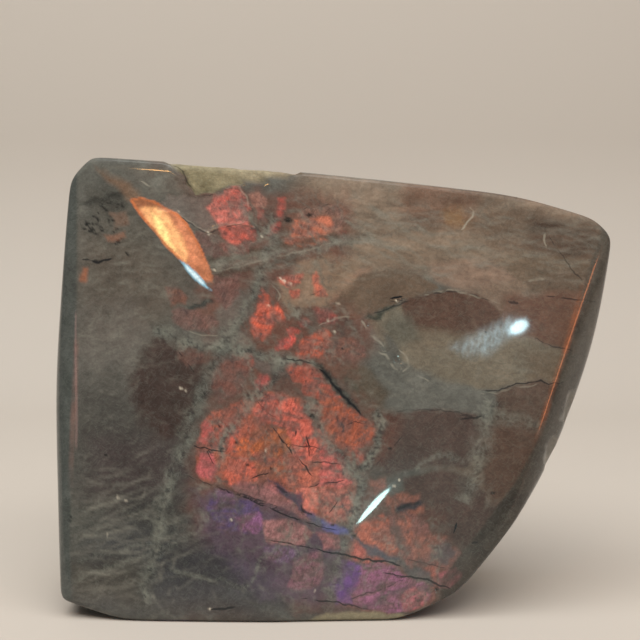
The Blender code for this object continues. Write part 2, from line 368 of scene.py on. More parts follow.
# %% Place the camera
LENS = 58.0
SENSOR = 36.0
CAMERA_PLACE = np.array([-3.9, -292.4, 110.6])
CAMERA_DOWN = 6.0
PICTURE = 640

camera = bpy.data.objects.new("camera", bpy.data.cameras.new("camera"))
camera.data.lens = LENS
camera.data.sensor_width = SENSOR
camera.data.clip_start = 0.01
camera.location = CAMERA_PLACE * MM
camera.rotation_euler = (math.radians(90 - CAMERA_DOWN), 0, 0)
bpy.context.collection.objects.link(camera)
bpy.context.scene.camera = camera
bpy.context.scene.view_settings.view_transform = "Standard"


def in_picture(points3):
    """The pixel, right and down, where the camera sees each point."""
    down = math.radians(CAMERA_DOWN)
    ahead = np.array([0, math.cos(down), -math.sin(down)])
    above = np.array([0, math.sin(down), math.cos(down)])
    offset = points3 - CAMERA_PLACE
    scale = PICTURE * LENS / SENSOR / (offset @ ahead)
    return np.array([PICTURE / 2 + offset[:, 0] * scale, PICTURE / 2 - offset @ above * scale]).T


print("the heart is seen at pixel", np.round(in_picture(HEART[None])[0]))

# %% [markdown]
# ## Outlines and lines
# Most marks are either a field with an outline or a line with a width. For a field we
# want a mask with soft or ragged edges; for a line, the distance to it. Both are measured
# in pixels of the picture.

# %% Distance helpers
FAR_AWAY = 1e9


def to_segments(spots, corners, closed):
    """Distance to a chain of segments, its signed side, and the way along it (0 to 1)."""
    corners = np.array(corners, float)
    ends = np.roll(corners, -1, axis=0) if closed else corners[1:]
    starts = corners if closed else corners[:-1]
    nearest = np.full(len(spots), FAR_AWAY)
    side = np.zeros(len(spots))
    way = np.zeros(len(spots))
    for number, (first, second) in enumerate(zip(starts, ends)):
        run = second - first
        offset = spots - first
        share = np.clip(offset @ run / (run @ run), 0, 1)
        gap = np.linalg.norm(offset - share[:, None] * run, axis=1)
        closer = gap < nearest
        across = offset[:, 0] * run[1] - offset[:, 1] * run[0]
        nearest = np.where(closer, gap, nearest)
        side = np.where(closer, np.sign(across) * gap, side)
        way = np.where(closer, (number + share) / len(starts), way)
    return nearest, side, way


def depth_inside(spots, corners):
    """Distance inside an outline, negative outside."""
    nearest, _, _ = to_segments(spots, corners, True)
    inside = np.zeros(len(spots), bool)
    corners = np.array(corners, float)
    for first, second in zip(corners, np.roll(corners, -1, axis=0)):
        spans = (first[1] > spots[:, 1]) != (second[1] > spots[:, 1])
        rise = second[1] - first[1]
        rise = rise if abs(rise) > 1e-9 else 1e-9
        crossing = first[0] + (spots[:, 1] - first[1]) * (second[0] - first[0]) / rise
        inside ^= spans & (spots[:, 0] < crossing)
    return np.where(inside, nearest, -nearest)


square = [(0, 0), (10, 0), (10, 10), (0, 10)]
print("depth in the middle of a ten pixel square:", depth_inside(np.array([[5.0, 5.0]]), square)[0])

# %% [markdown]
# ## Skin, flake and chips
# Along the top edge the wheel left a strip of the stone's natural olive skin, a little
# below the polish and bumpy. Under it a thin flake has come off. Small shell-shaped chips
# sit on the edges and five tiny pits on the front. A bump in the material would vanish from
# the outline, so all of them are real relief: we sink the points themselves.

# %% Outline the unpolished places
SKIN = [(166, 150), (170, 163), (175, 169), (184, 172), (187, 184), (196, 195), (208, 193),
        (220, 191), (226, 187), (243, 184), (260, 180), (280, 177), (301, 174), (312, 150)]
FLAKE = [(158, 209), (168, 211), (178, 212), (184, 216), (190, 220), (197, 226), (207, 231),
         (213, 228), (228, 225), (247, 222), (252, 211), (245, 203), (246, 192), (240, 188),
         (222, 192), (205, 197), (190, 196), (172, 192)]
CHIPS = [
    # place, radius, depth
    ((68.2, -5.5, 54.5), 3.2, 0.8), ((61.2, -8.5, 43), 3.0, 0.7),
    ((66, 20, 70), 6.5, 1.6), ((-75.5, 16, 34), 6.0, 1.5), ((-36, 21, 5), 6.5, 1.6),
]
PITS = [
    # right, down, radius, depth
    (401, 361, 4.5, 0.35), (372, 326, 3.0, 0.25), (437, 589, 1.6, 0.3),
    (161, 219, 2.0, 0.15), (479, 213, 2.0, 0.2),
]
print(len(CHIPS), "chips and", len(PITS), "pits marked")

# %% Find how far the skin, the flake and the ledges lie below the polish
SKIN_DEPTH, FLAKE_DEPTH = 0.7, 0.22
SKIN_BUMP, FINE_BUMP = 0.32, 0.12
SKIN_FADE = 8

spots = in_picture(points)
spots3 = np.column_stack([spots, np.zeros(len(spots))])
facing_front = smooth(0.25, 0.5, -normals[:, 1])
facing_back = np.clip(normals[:, 1] / 0.4, 0, 1)
wobble = sway(spots3, 1.6, 9, (21, 24), 2)
on_top = np.clip((BACK_FOOT - points[:, 1]) / SKIN_FADE, 0, 1)
skin = smooth(-0.9, 0.9, depth_inside(spots + wobble, SKIN)) * on_top
flake = smooth(-0.8, 0.8, depth_inside(spots + wobble, FLAKE)) * facing_front * (1 - skin)
ledges = np.clip(ledge_steps(points) / LEDGE_WALL_SHARE, 0, 1) * facing_back
bumps = SKIN_BUMP * clouds(points, 3.5, 1) + FINE_BUMP * clouds(points, 1.1, 5)
sink = skin * SKIN_DEPTH + flake * FLAKE_DEPTH + bumps * np.maximum(skin, 0.6 * ledges)
print("unpolished share", round(float(np.mean(np.maximum(skin, ledges) > 0.5)), 3))

# %% Add the chips and the pits, and sink the points
CHIP_STRETCH = 1.9

chipped = np.zeros(len(points))
for place, radius, depth in CHIPS:
    offset = (points - np.array(place)) / np.array([1, 1, CHIP_STRETCH])
    gap = np.linalg.norm(offset, axis=1) / radius
    sink = np.maximum(sink, depth * (1 - gap ** 2))
    chipped = np.maximum(chipped, smooth(1.02, 0.92, gap))
for right, down, radius, depth in PITS:
    gap = np.linalg.norm(spots - (right, down), axis=1) / radius
    frayed_gap = gap + 0.3 * clouds(points, 1.5, 8)
    sink += depth * smooth(1.1, 0.3, frayed_gap) * facing_front
points = points - normals * sink[:, None]
print("deepest place", round(float(sink.max()), 2), "mm below the polish")

# %% Set the stone down on its foot and look at it again
points[:, 2] = np.maximum(points[:, 2], 0)
middle_of_box = (points.min(axis=0) + points.max(axis=0)) / 2
points[:, :2] -= middle_of_box[:2]
spots = in_picture(points)
spots3 = np.column_stack([spots, np.zeros(len(spots))])
print("stone moved by", np.round(-middle_of_box[:2], 2), "mm to stand over the middle")

# %% [markdown]
# ## A painter's palette
# The stone's own colours are few: smoky ash where the crystal is milky, taupe and cocoa
# where it is clear, olive for the skin. Colours are named as the eye reads them on a
# screen and turned into the linear values that light is reckoned in.

# %% Mix the palette
def paint(red, green, blue):
    """A colour read on screen, 0 to 255, as linear light."""
    c = np.array([red, green, blue]) / 255
    return np.where(c <= 0.04045, c / 12.92, ((c + 0.055) / 1.055) ** 2.4)


ASH = paint(92, 92, 86)
SMOKE = paint(72, 70, 66)
TAUPE = paint(112, 94, 80)
COCOA = paint(86, 66, 56)
OLIVE = paint(128, 120, 95)
MILK = paint(120, 124, 116)
print("palette mixed, ash is", np.round(ASH, 2), "in linear light")

# %% [markdown]
# ## A canvas of points
# The drawing could be an image wrapped round the stone, but a chunk has no natural seams
# to unwrap it along. We give each point of the fine mesh a colour instead, and paint over
# it layer by layer: first what lies deep, last what lies on top.

# %% Stretch the canvas
class Canvas:
    """The colour of every point, painted over layer by layer."""

    def __init__(self, count):
        self.colour = np.zeros((count, 3)) + ASH

    def lay(self, colour, amount):
        """Paint a colour over the canvas by this amount at each point."""
        amount = np.clip(amount, 0, 1)[:, None]
        self.colour = self.colour * (1 - amount) + colour * amount

    def shade(self, change):
        """Darken or lighten each point by a share of its own colour."""
        self.colour = self.colour * np.clip(1 + change, 0, 2)[:, None]


canvas = Canvas(len(points))
print("canvas has", len(canvas.colour), "points")

# %% [markdown]
# ## The stone all round
# Before the drawing on the front, the whole stone gets its ground: cloudy ash and taupe,
# clear cocoa windows, grey veils along old healed cracks, and on the back and sides a few
# dim flashes. One minus the absolute value of noise makes ridges, which draw the veils.

# %% Ground colours from noise
canvas.lay(TAUPE, smooth(-0.2, 0.9, clouds(points, 34, 30)))
canvas.lay(COCOA, 0.75 * smooth(0.1, 0.8, clouds(points, 26, 33)))
canvas.lay(SMOKE, 0.7 * smooth(0.0, 0.7, clouds(points, 18, 36)))
behind = smooth(0.5, 0.9, 1 - facing_front)
embers = smooth(0.30, 0.5, clouds(points, 17, 40, 4)) * smooth(-0.3, 0.4, clouds(points, 60, 43))
ember_tone = (1 + 0.35 * clouds(points * (1, 1, 2), 5, 236, 3))[:, None]
canvas.lay(paint(150, 72, 56) * ember_tone, 0.8 * embers * behind)
violets = smooth(0.32, 0.55, clouds(points, 15, 46, 4)) * smooth(60, 20, points[:, 2])
canvas.lay(paint(84, 68, 116) * ember_tone, 0.8 * violets * behind)
veins = ridges(points, 30, 50, 3)
canvas.lay(MILK, 0.6 * smooth(0.84, 1.0, veins) * (0.6 + 0.4 * clouds(points, 2, 53)))
print("ground laid,", round(float(behind.mean()), 2), "of it off the front")

# %% [markdown]
# ## Zones of the front
# Up close the front is a map of fields: milky ash at the left, sandy streaks at the upper
# right, dark clear lenses, an olive field below them. Noise alone would give the right
# kinds of field in the wrong places, so each zone is a drawn outline, with a colour, a
# strength and how far its edge is blurred.

# %% Outline the zones on the left and below
ZONES = [
    # outline, colour, strength, blur
    ([(50, 150), (140, 150), (150, 230), (230, 300), (200, 420), (170, 640), (40, 640)],
     ASH, 0.9, 40),
    ([(80, 230), (150, 235), (190, 300), (130, 350), (80, 340)], paint(86, 77, 68), 0.8, 24),
    ([(90, 190), (150, 205), (160, 240), (100, 240)], paint(84, 80, 72), 0.6, 14),
    ([(76, 310), (130, 300), (150, 330), (130, 370), (80, 372)], paint(104, 99, 93), 0.6, 16),
    ([(80, 385), (136, 380), (180, 470), (120, 520), (80, 480)], SMOKE, 0.85, 30),
    ([(90, 440), (190, 430), (210, 500), (150, 520), (85, 500)], paint(72, 63, 62), 0.85, 24),
    ([(122, 495), (175, 490), (178, 540), (128, 545)], paint(62, 62, 60), 0.8, 16),
    ([(110, 530), (330, 545), (330, 612), (70, 612), (80, 560)], paint(64, 65, 69), 0.9, 24),
    ([(65, 560), (140, 560), (150, 610), (70, 600)], paint(82, 78, 70), 0.8, 16),
    ([(200, 488), (330, 500), (330, 560), (230, 560), (190, 520)], paint(76, 70, 78), 0.8, 18),
]
print(len(ZONES), "zones outlined on the left and below")

# %% Outline the zones of the right side
ZONES += [
    ([(300, 160), (612, 190), (612, 300), (500, 290), (430, 270), (330, 300), (290, 260)],
     paint(122, 106, 91), 0.95, 22),
    ([(400, 180), (480, 190), (475, 225), (420, 232), (395, 210)], paint(106, 82, 68), 0.9, 10),
    ([(480, 196), (612, 226), (606, 300), (520, 270), (470, 230)], paint(96, 81, 68), 0.7, 14),
    ([(530, 215), (600, 228), (598, 262), (560, 258), (524, 246)], paint(80, 66, 56), 0.85, 8),
    ([(320, 176), (400, 184), (396, 224), (336, 214)], paint(136, 120, 104), 0.6, 14),
    ([(345, 235), (450, 225), (520, 262), (470, 275), (400, 262), (350, 262)],
     paint(124, 108, 92), 0.7, 12),
    ([(428, 264), (470, 258), (502, 262), (516, 280), (490, 288), (452, 290), (434, 284)],
     paint(134, 112, 97), 0.75, 5),
    ([(490, 262), (524, 281), (545, 278), (560, 275), (592, 270), (594, 262), (560, 258),
      (520, 252)], paint(96, 83, 69), 0.7, 3),
    ([(524, 281), (545, 279), (590, 273), (586, 290), (560, 296), (536, 290)],
     paint(98, 84, 71), 0.85, 1.5),
    ([(322, 306), (338, 284), (358, 270), (372, 266), (366, 276), (348, 296), (334, 312)],
     paint(142, 112, 94), 0.7, 3),
    ([(330, 306), (345, 286), (365, 273), (390, 268), (415, 270), (428, 282), (437, 291),
      (405, 301), (364, 317), (345, 318)], paint(102, 86, 72), 0.95, 1.6),
    ([(505, 296), (590, 290), (575, 352), (534, 340), (506, 334), (500, 316)],
     paint(100, 74, 61), 0.92, 5),
    ([(365, 318), (405, 304), (420, 330), (480, 336), (530, 340), (560, 350), (575, 370),
      (567, 381), (551, 384), (542, 378), (532, 382), (516, 383), (498, 389), (479, 391),
      (430, 378), (390, 350)], paint(110, 102, 88), 0.95, 3),
    ([(402, 306), (410, 299), (434, 294), (451, 292), (471, 295), (491, 303), (501, 312),
      (502, 326), (463, 337), (426, 334), (406, 326)], paint(84, 64, 54), 0.97, 1.8),
    ([(404, 340), (420, 328), (460, 334), (505, 328), (515, 345), (470, 352), (420, 350)],
     paint(108, 98, 84), 0.9, 7),
    ([(392, 312), (412, 318), (420, 340), (400, 346), (384, 328)], paint(92, 90, 80), 0.8, 6),
    ([(372, 366), (430, 374), (480, 392), (498, 398), (492, 418), (440, 414), (385, 408)],
     paint(98, 98, 92), 0.95, 6),
    ([(320, 362), (365, 368), (388, 390), (376, 418), (362, 412), (340, 384)],
     paint(86, 76, 64), 0.92, 5),
    ([(318, 362), (336, 376), (352, 396), (364, 414), (366, 402), (350, 380), (334, 366)],
     paint(76, 82, 72), 0.9, 2),
    ([(496, 394), (516, 385), (540, 381), (574, 384), (560, 430), (530, 432), (494, 420)],
     paint(86, 71, 62), 0.95, 2.5),
    ([(381, 416), (398, 411), (422, 409), (451, 411), (475, 416), (486, 424), (472, 466),
      (430, 464), (388, 476), (374, 452)], paint(82, 68, 62), 0.97, 2.5),
    ([(372, 420), (384, 414), (402, 412), (396, 440), (384, 462), (372, 462)],
     paint(96, 66, 56), 0.8, 6),
    ([(495, 425), (548, 433), (520, 490), (490, 500), (478, 470)], paint(86, 68, 58), 0.92, 5),
    ([(404, 480), (430, 470), (448, 469), (466, 476), (486, 492), (486, 520), (440, 526),
      (406, 520)], paint(84, 67, 60), 0.97, 3),
    ([(440, 526), (500, 500), (525, 490), (490, 550), (455, 590), (436, 560)],
     paint(80, 66, 60), 0.92, 8),
    ([(524, 350), (566, 352), (558, 382), (530, 380)], paint(98, 86, 72), 0.8, 6),
    ([(212, 262), (262, 254), (300, 250), (345, 238), (354, 245), (318, 258), (300, 264),
      (262, 274), (214, 276)], paint(84, 80, 68), 0.85, 3),
    ([(384, 332), (392, 336), (402, 350), (400, 362), (390, 356)], paint(78, 78, 74), 0.8, 3),
]
print(len(ZONES), "zones outlined in all")

# %% Lay the zones
zone_sway = sway(spots3, 3.0, 22, (61, 64), 3)
for outline, colour, strength, blur in ZONES:
    inside = smooth(-blur, blur, depth_inside(spots + zone_sway, outline))
    canvas.lay(colour, strength * inside * facing_front)
print("zones laid, mean colour", np.round(canvas.colour.mean(axis=0), 3))

# %% Cloud and streak them
UPPER_RIGHT = [(330, 170), (612, 190), (606, 292), (500, 292), (430, 262), (340, 262)]
LOWER_LEFT = [(64, 500), (200, 500), (330, 570), (330, 612), (64, 612)]

flow = sway(spots3, 4.0, 26, (66, 69), 2)
upper_right = smooth(-14, 14, depth_inside(spots, UPPER_RIGHT)) * facing_front
lower_left = smooth(-24, 24, depth_inside(spots, LOWER_LEFT)) * facing_front
canvas.shade(0.10 * clouds(points, 11, 210) + 0.12 * clouds(points, 4, 213, 4))
canvas.shade(0.07 * brush(spots + flow, 30, 14, 3, 216) * (1 - upper_right))
canvas.shade(upper_right * (0.18 * brush(spots + flow, 3, 60, 5, 219, 3)
                            + 0.14 * brush(spots + flow, -14, 30, 2.6, 222, 3)))
canvas.shade(lower_left * 0.13 * brush(spots + flow, 12, 60, 4, 225, 3))
# painted shade: the front is darkened a little all over and more towards the bottom, to offset the
# light the pale floor throws back up
canvas.shade(-0.08 - 0.20 * smooth(330, 560, spots[:, 1]) * facing_front)
print("streaks laid, mean colour", np.round(canvas.colour.mean(axis=0), 3))

# %% [markdown]
# ## Ground under the flash
# Around the bright patches the crystal isn't grey: it glows a dull red-brown, violet at the
# foot, umber in a clear window at the left. Patches laid on bare grey would look pasted on,
# so a few wide, soft fields go under them first.

# %% Outline the soft fields
GLOW = [(204, 186), (345, 198), (354, 240), (345, 262), (338, 298), (372, 318), (374, 354),
        (348, 372), (374, 412), (380, 440), (368, 470), (392, 500), (436, 516), (450, 546),
        (446, 590), (422, 612), (300, 612), (256, 566), (204, 536), (190, 506), (196, 446),
        (204, 404), (212, 372), (206, 340), (196, 316), (202, 276), (222, 258), (208, 226)]
UNDER_FLASH = [
    # outline, colour, strength, blur
    (GLOW, paint(100, 68, 58), 0.75, 12),
    # violet ground at the foot
    ([(196, 490), (262, 500), (330, 524), (352, 560), (344, 606), (262, 600), (204, 540)],
     paint(80, 70, 84), 0.75, 10),
    # clear umber window at the left
    ([(138, 348), (165, 336), (205, 348), (218, 362), (200, 385), (200, 430), (165, 446),
      (140, 420), (128, 385)], paint(58, 44, 40), 0.85, 9),
    # sandy tongue between the red patches
    ([(278, 286), (298, 264), (322, 256), (346, 262), (360, 262), (352, 280), (330, 302),
      (306, 314), (288, 308)], paint(134, 115, 96), 0.68, 6),
    # milky fields beside the long veil
    ([(240, 284), (254, 292), (250, 310), (244, 330), (250, 350), (226, 350), (204, 342),
      (216, 318), (226, 298)], paint(98, 94, 88), 0.7, 5),
    ([(246, 352), (290, 358), (286, 372), (262, 375), (250, 367)], paint(94, 89, 84), 0.7, 3),
]
print(len(UNDER_FLASH), "soft fields outlined")

# %% Lay the soft fields
ragged = sway(spots3, 2.4, 11, (70, 74), 3)
mottle = clouds(spots3, 13, 78, 3)
glow = smooth(-12, 12, depth_inside(spots + 3 * ragged, GLOW)) * facing_front
for outline, colour, strength, blur in UNDER_FLASH:
    field = smooth(-blur, blur, depth_inside(spots + 2.4 * ragged, outline)) * facing_front
    canvas.lay(colour * (1 + 0.22 * mottle)[:, None], field * strength)
print("the glow fills", round(float(glow.mean()), 3), "of the points")

# %% [markdown]
# ## The flash
# The famous colour sits in patches with ragged edges, each its own crystal turned a little
# differently, parted by grey veils. A real flash comes and goes as the stone is turned; a
# material that does the same would be lost in an exported model, so we paint it as it looks
# from the front, patch by patch: an outline, a colour and a strength. Inside a patch the
# colour streaks along the crystal's layers, each patch at its own angle.

# %% Outline the patches below the skin
FLASHES = [
    # outline, colour, strength
    ([(225, 188), (238, 188), (243, 193), (247, 202), (249, 208), (247, 218), (249, 223),
      (229, 225), (219, 226), (213, 218), (206, 210), (214, 203), (215, 196), (224, 192)],
     paint(214, 112, 98), 0.9),
    ([(222, 192), (238, 190), (243, 200), (230, 206), (218, 204)], paint(220, 84, 66), 0.8),
    ([(219, 226), (255, 225), (257, 235), (254, 240), (249, 242), (235, 243), (228, 240),
      (222, 234)], paint(216, 96, 78), 0.9),
    ([(222, 242), (252, 242), (249, 254), (226, 254)], paint(128, 62, 52), 0.7),
    ([(196, 232), (218, 234), (224, 254), (210, 260), (194, 252)], paint(94, 64, 56), 0.7),
    ([(248, 194), (260, 192), (267, 198), (266, 207), (252, 207)], paint(158, 108, 92), 0.7),
    ([(256, 208), (266, 208), (265, 219), (258, 220)], paint(184, 78, 62), 0.8),
    ([(278, 199), (287, 199), (285, 208), (283, 215), (280, 221), (273, 220), (275, 210)],
     paint(186, 76, 62), 0.8),
    ([(268, 226), (280, 224), (279, 233), (268, 234)], paint(176, 68, 58), 0.75),
    ([(297, 217), (305, 208), (320, 205), (336, 204), (343, 214), (341, 228), (333, 236),
      (330, 217)], paint(134, 98, 80), 0.75),
    ([(294, 219), (308, 219), (313, 217), (331, 217), (333, 224), (332, 234), (326, 241),
      (311, 245), (303, 247), (284, 246), (286, 239), (292, 234), (291, 227)],
     paint(186, 104, 74), 0.92),
    ([(337, 232), (346, 230), (347, 238), (340, 241)], paint(150, 72, 55), 0.7),
]
print(len(FLASHES), "flash patches so far")

# %% Outline the patches in the middle
FLASHES += [
    ([(278, 276), (290, 274), (303, 272), (304, 278), (298, 284), (290, 287), (282, 284)],
     paint(214, 104, 80), 0.85),
    ([(291, 289), (300, 290), (299, 297), (292, 296)], paint(190, 82, 60), 0.75),
    ([(312, 276), (316, 272), (321, 280), (319, 287), (327, 290), (328, 294), (315, 294)],
     paint(206, 98, 70), 0.75),
    ([(262, 287), (270, 297), (272, 306), (278, 303), (283, 313), (283, 321), (275, 322),
      (270, 330), (264, 340), (254, 338), (251, 333), (249, 318), (254, 312), (260, 300)],
     paint(208, 88, 58), 1.0),
    ([(276, 352), (276, 347), (281, 339), (292, 334), (296, 339), (292, 346), (286, 349)],
     paint(208, 78, 66), 0.95),
    ([(286, 331), (294, 328), (302, 329), (296, 332), (288, 334)], paint(206, 76, 60), 0.9),
    ([(302, 320), (308, 320), (307, 326), (301, 326)], paint(190, 76, 60), 0.8),
    ([(315, 314), (320, 306), (328, 306), (337, 314), (333, 322), (320, 325)],
     paint(146, 54, 44), 0.9),
    ([(327, 329), (333, 336), (329, 343), (326, 350), (321, 356), (313, 360), (300, 358),
      (297, 352), (300, 344), (308, 337), (317, 331)], paint(178, 78, 48), 0.9),
    ([(332, 339), (350, 336), (366, 346), (366, 356), (348, 360), (324, 358)],
     paint(126, 80, 62), 0.75),
    ([(286, 366), (292, 363), (300, 364), (308, 363), (315, 368), (318, 374), (324, 382),
      (334, 390), (341, 398), (329, 400), (313, 397), (303, 392), (299, 382), (292, 380)],
     paint(166, 74, 52), 0.95),
    ([(253, 383), (259, 376), (267, 374), (269, 381), (263, 388), (255, 389)],
     paint(176, 78, 72), 0.85),
    ([(238, 356), (252, 355), (254, 365), (246, 371), (238, 366)], paint(150, 72, 56), 0.75),
    ([(218, 352), (236, 352), (250, 372), (240, 392), (220, 404), (212, 386)],
     paint(108, 64, 52), 0.7),
    ([(164, 288), (180, 286), (188, 296), (186, 304), (172, 306)], paint(108, 66, 46), 0.8),
    ([(172, 310), (196, 308), (218, 322), (214, 334), (188, 332), (172, 322)],
     paint(108, 74, 64), 0.75),
    ([(212, 276), (240, 274), (240, 292), (228, 308), (216, 300)], paint(102, 66, 58), 0.7),
    ([(178, 345), (200, 350), (212, 357), (206, 366), (190, 366), (178, 356)],
     paint(92, 60, 46), 0.7),
]
print(len(FLASHES), "flash patches so far")

# %% Outline the patches of the main field, one wide and brighter ones in it
FLASHES += [
    ([(210, 414), (240, 400), (266, 392), (300, 396), (322, 408), (352, 410), (374, 424),
      (370, 442), (352, 452), (357, 486), (355, 516), (330, 523), (300, 509), (268, 495),
      (230, 485), (203, 480), (197, 456), (200, 428)], paint(166, 84, 60), 0.85),
    ([(199, 442), (202, 424), (208, 418), (214, 430), (210, 443)], paint(178, 80, 76), 0.85),
    ([(214, 450), (216, 432), (226, 420), (238, 418), (240, 432), (232, 450), (220, 452)],
     paint(208, 88, 66), 0.9),
    ([(198, 470), (202, 454), (212, 452), (217, 466), (212, 479), (203, 478)],
     paint(186, 88, 90), 0.9),
    ([(237, 450), (242, 438), (254, 434), (262, 440), (258, 452), (246, 458), (239, 456)],
     paint(216, 104, 48), 0.9),
    ([(250, 432), (264, 426), (286, 430), (290, 446), (278, 458), (262, 458), (252, 446)],
     paint(168, 88, 42), 0.92),
    ([(254, 408), (268, 394), (290, 397), (304, 409), (314, 424), (326, 434), (331, 446),
      (318, 460), (302, 462), (291, 456), (291, 440), (284, 428), (268, 424), (256, 419)],
     paint(206, 96, 76), 1.0),
    ([(224, 474), (229, 460), (244, 457), (256, 463), (256, 478), (244, 485), (229, 483)],
     paint(226, 104, 76), 0.95),
    ([(256, 461), (284, 460), (287, 477), (268, 481), (257, 477)], paint(160, 90, 60), 0.85),
    ([(286, 462), (318, 461), (323, 478), (308, 487), (288, 483)], paint(196, 104, 80), 0.92),
    ([(237, 482), (268, 483), (282, 490), (272, 497), (248, 493)], paint(170, 104, 108), 0.8),
    ([(294, 491), (318, 487), (323, 506), (310, 513), (298, 505)], paint(210, 116, 98), 0.92),
    ([(228, 483), (262, 487), (290, 499), (316, 513), (332, 524), (322, 525), (296, 514),
      (270, 503), (240, 494)], paint(150, 102, 102), 0.7),
    ([(320, 388), (332, 396), (350, 408), (362, 416), (374, 422), (375, 434), (367, 442),
      (352, 446), (338, 442), (326, 432), (318, 410)], paint(160, 76, 42), 0.95),
    ([(319, 446), (332, 447), (342, 458), (349, 470), (354, 483), (344, 489), (330, 486),
      (320, 486)], paint(206, 100, 92), 0.95),
    ([(322, 488), (344, 490), (355, 494), (354, 510), (342, 521), (326, 517), (321, 508)],
     paint(176, 104, 90), 0.9),
    ([(357, 452), (366, 450), (368, 462), (358, 464)], paint(160, 78, 60), 0.8),
    ([(370, 480), (384, 478), (386, 488), (374, 492)], paint(150, 86, 62), 0.7),
]
print(len(FLASHES), "flash patches so far")

# %% Outline the patches of the low field
FLASHES += [
    ([(350, 530), (384, 512), (412, 512), (430, 524), (436, 546), (440, 582), (430, 606),
      (382, 615), (338, 604), (333, 580), (344, 556)], paint(122, 78, 70), 0.7),
    ([(355, 532), (367, 520), (381, 515), (389, 524), (396, 535), (398, 551), (387, 555),
      (373, 547), (360, 540)], paint(174, 94, 70), 0.9),
    ([(386, 494), (420, 494), (424, 512), (400, 516), (386, 510)], paint(136, 78, 56), 0.75),
    ([(396, 519), (406, 516), (413, 530), (412, 546), (403, 548)], paint(160, 92, 70), 0.85),
    ([(410, 540), (426, 534), (448, 538), (440, 552), (414, 562)], paint(134, 84, 68), 0.7),
    ([(348, 545), (356, 541), (372, 550), (385, 558), (400, 563), (398, 569), (372, 564),
      (350, 559)], paint(178, 92, 80), 0.9),
    ([(318, 532), (340, 534), (340, 548), (322, 550)], paint(160, 100, 100), 0.8),
    ([(346, 561), (371, 563), (398, 567), (402, 575), (418, 579), (430, 587), (428, 600),
      (412, 608), (397, 613), (381, 611), (357, 605), (338, 601), (334, 591), (340, 577)],
     paint(140, 82, 118), 0.95),
    ([(398, 590), (414, 588), (428, 594), (424, 606), (402, 611)], paint(166, 92, 96), 0.85),
    ([(422, 567), (434, 568), (436, 577), (424, 577)], paint(160, 84, 66), 0.8),
    ([(438, 573), (456, 568), (461, 577), (450, 589), (440, 587)], paint(176, 92, 102), 0.85),
    ([(436, 552), (456, 546), (464, 556), (452, 572), (438, 566)], paint(104, 68, 60), 0.7),
]
print(len(FLASHES), "flash patches so far")

# %% Outline the patches of the violet foot
FLASHES += [
    ([(206, 506), (216, 496), (252, 500), (264, 512), (262, 528), (240, 536), (218, 532)],
     paint(68, 56, 108), 0.8),
    ([(234, 516), (262, 511), (266, 522), (258, 533), (240, 532)], paint(144, 92, 138), 0.9),
    ([(214, 490), (238, 493), (240, 503), (220, 504)], paint(110, 78, 112), 0.8),
    ([(264, 520), (280, 517), (300, 523), (316, 532), (306, 547), (284, 545), (266, 540)],
     paint(164, 112, 110), 0.85),
    ([(262, 544), (282, 548), (299, 552), (297, 564), (276, 561), (264, 555)],
     paint(106, 84, 116), 0.75),
    ([(292, 566), (304, 556), (320, 552), (326, 566), (318, 586), (300, 592), (288, 586)],
     paint(128, 84, 100), 0.85),
    ([(342, 566), (352, 560), (362, 563), (360, 576), (350, 590), (342, 602), (334, 592)],
     paint(92, 58, 138), 0.85),
]
print(len(FLASHES), "flash patches in all")

# %% Paint patch after patch
CLOUDY_BROWN = paint(112, 86, 78)

grain = clouds(spots3, 4, 82, 2)
flash = 0.7 * np.maximum(embers, violets) * behind
for number, (outline, colour, strength) in enumerate(FLASHES):
    field = smooth(-1.8, 1.8, depth_inside(spots + ragged, outline)) * facing_front
    angle = 14 + 22 * math.sin(2.4 * number)
    streaks = brush(spots + flow, angle, 20, 4.0, 160 + number % 7)
    streaks += 0.5 * brush(spots + flow, angle + 9, 12, 2.6, 170 + number % 5)
    lit = smooth(-0.9, 0.7, streaks + 0.8 * mottle)[:, None]
    deep = 0.34 * colour + 0.42 * CLOUDY_BROWN
    canvas.lay(deep * (1 - lit) + colour * lit * (1 + 0.1 * grain)[:, None], field * strength)
    flash = np.maximum(flash, field * strength)
print("flash lies over", round(float(flash.mean()), 3), "of the points")

# %% Draw brown hairs through the flash and a thin haze over it
bent = spots3 + flow[:, [0, 1, 1]] * (1, 1, 0)
hairs = smooth(0.91, 0.99, ridges(bent, 19, 228, 2)) + smooth(0.88, 1.0, ridges(bent, 10, 231, 2))
canvas.lay(paint(66, 54, 52), 0.6 * hairs * flash)
canvas.lay(paint(136, 116, 114), 0.2 * flash)
print("hairs cover", round(float((hairs * flash > 0.3).mean()), 3), "of the points")

# %% [markdown]
# ## Ink marks
# Some clear slivers in and beside the flash look like dark ink, brown, blue-black or
# violet, because their layers send no light our way. They are too wide for thin lines and
# have soft edges, so they are small outlines again, and they take the flash away.

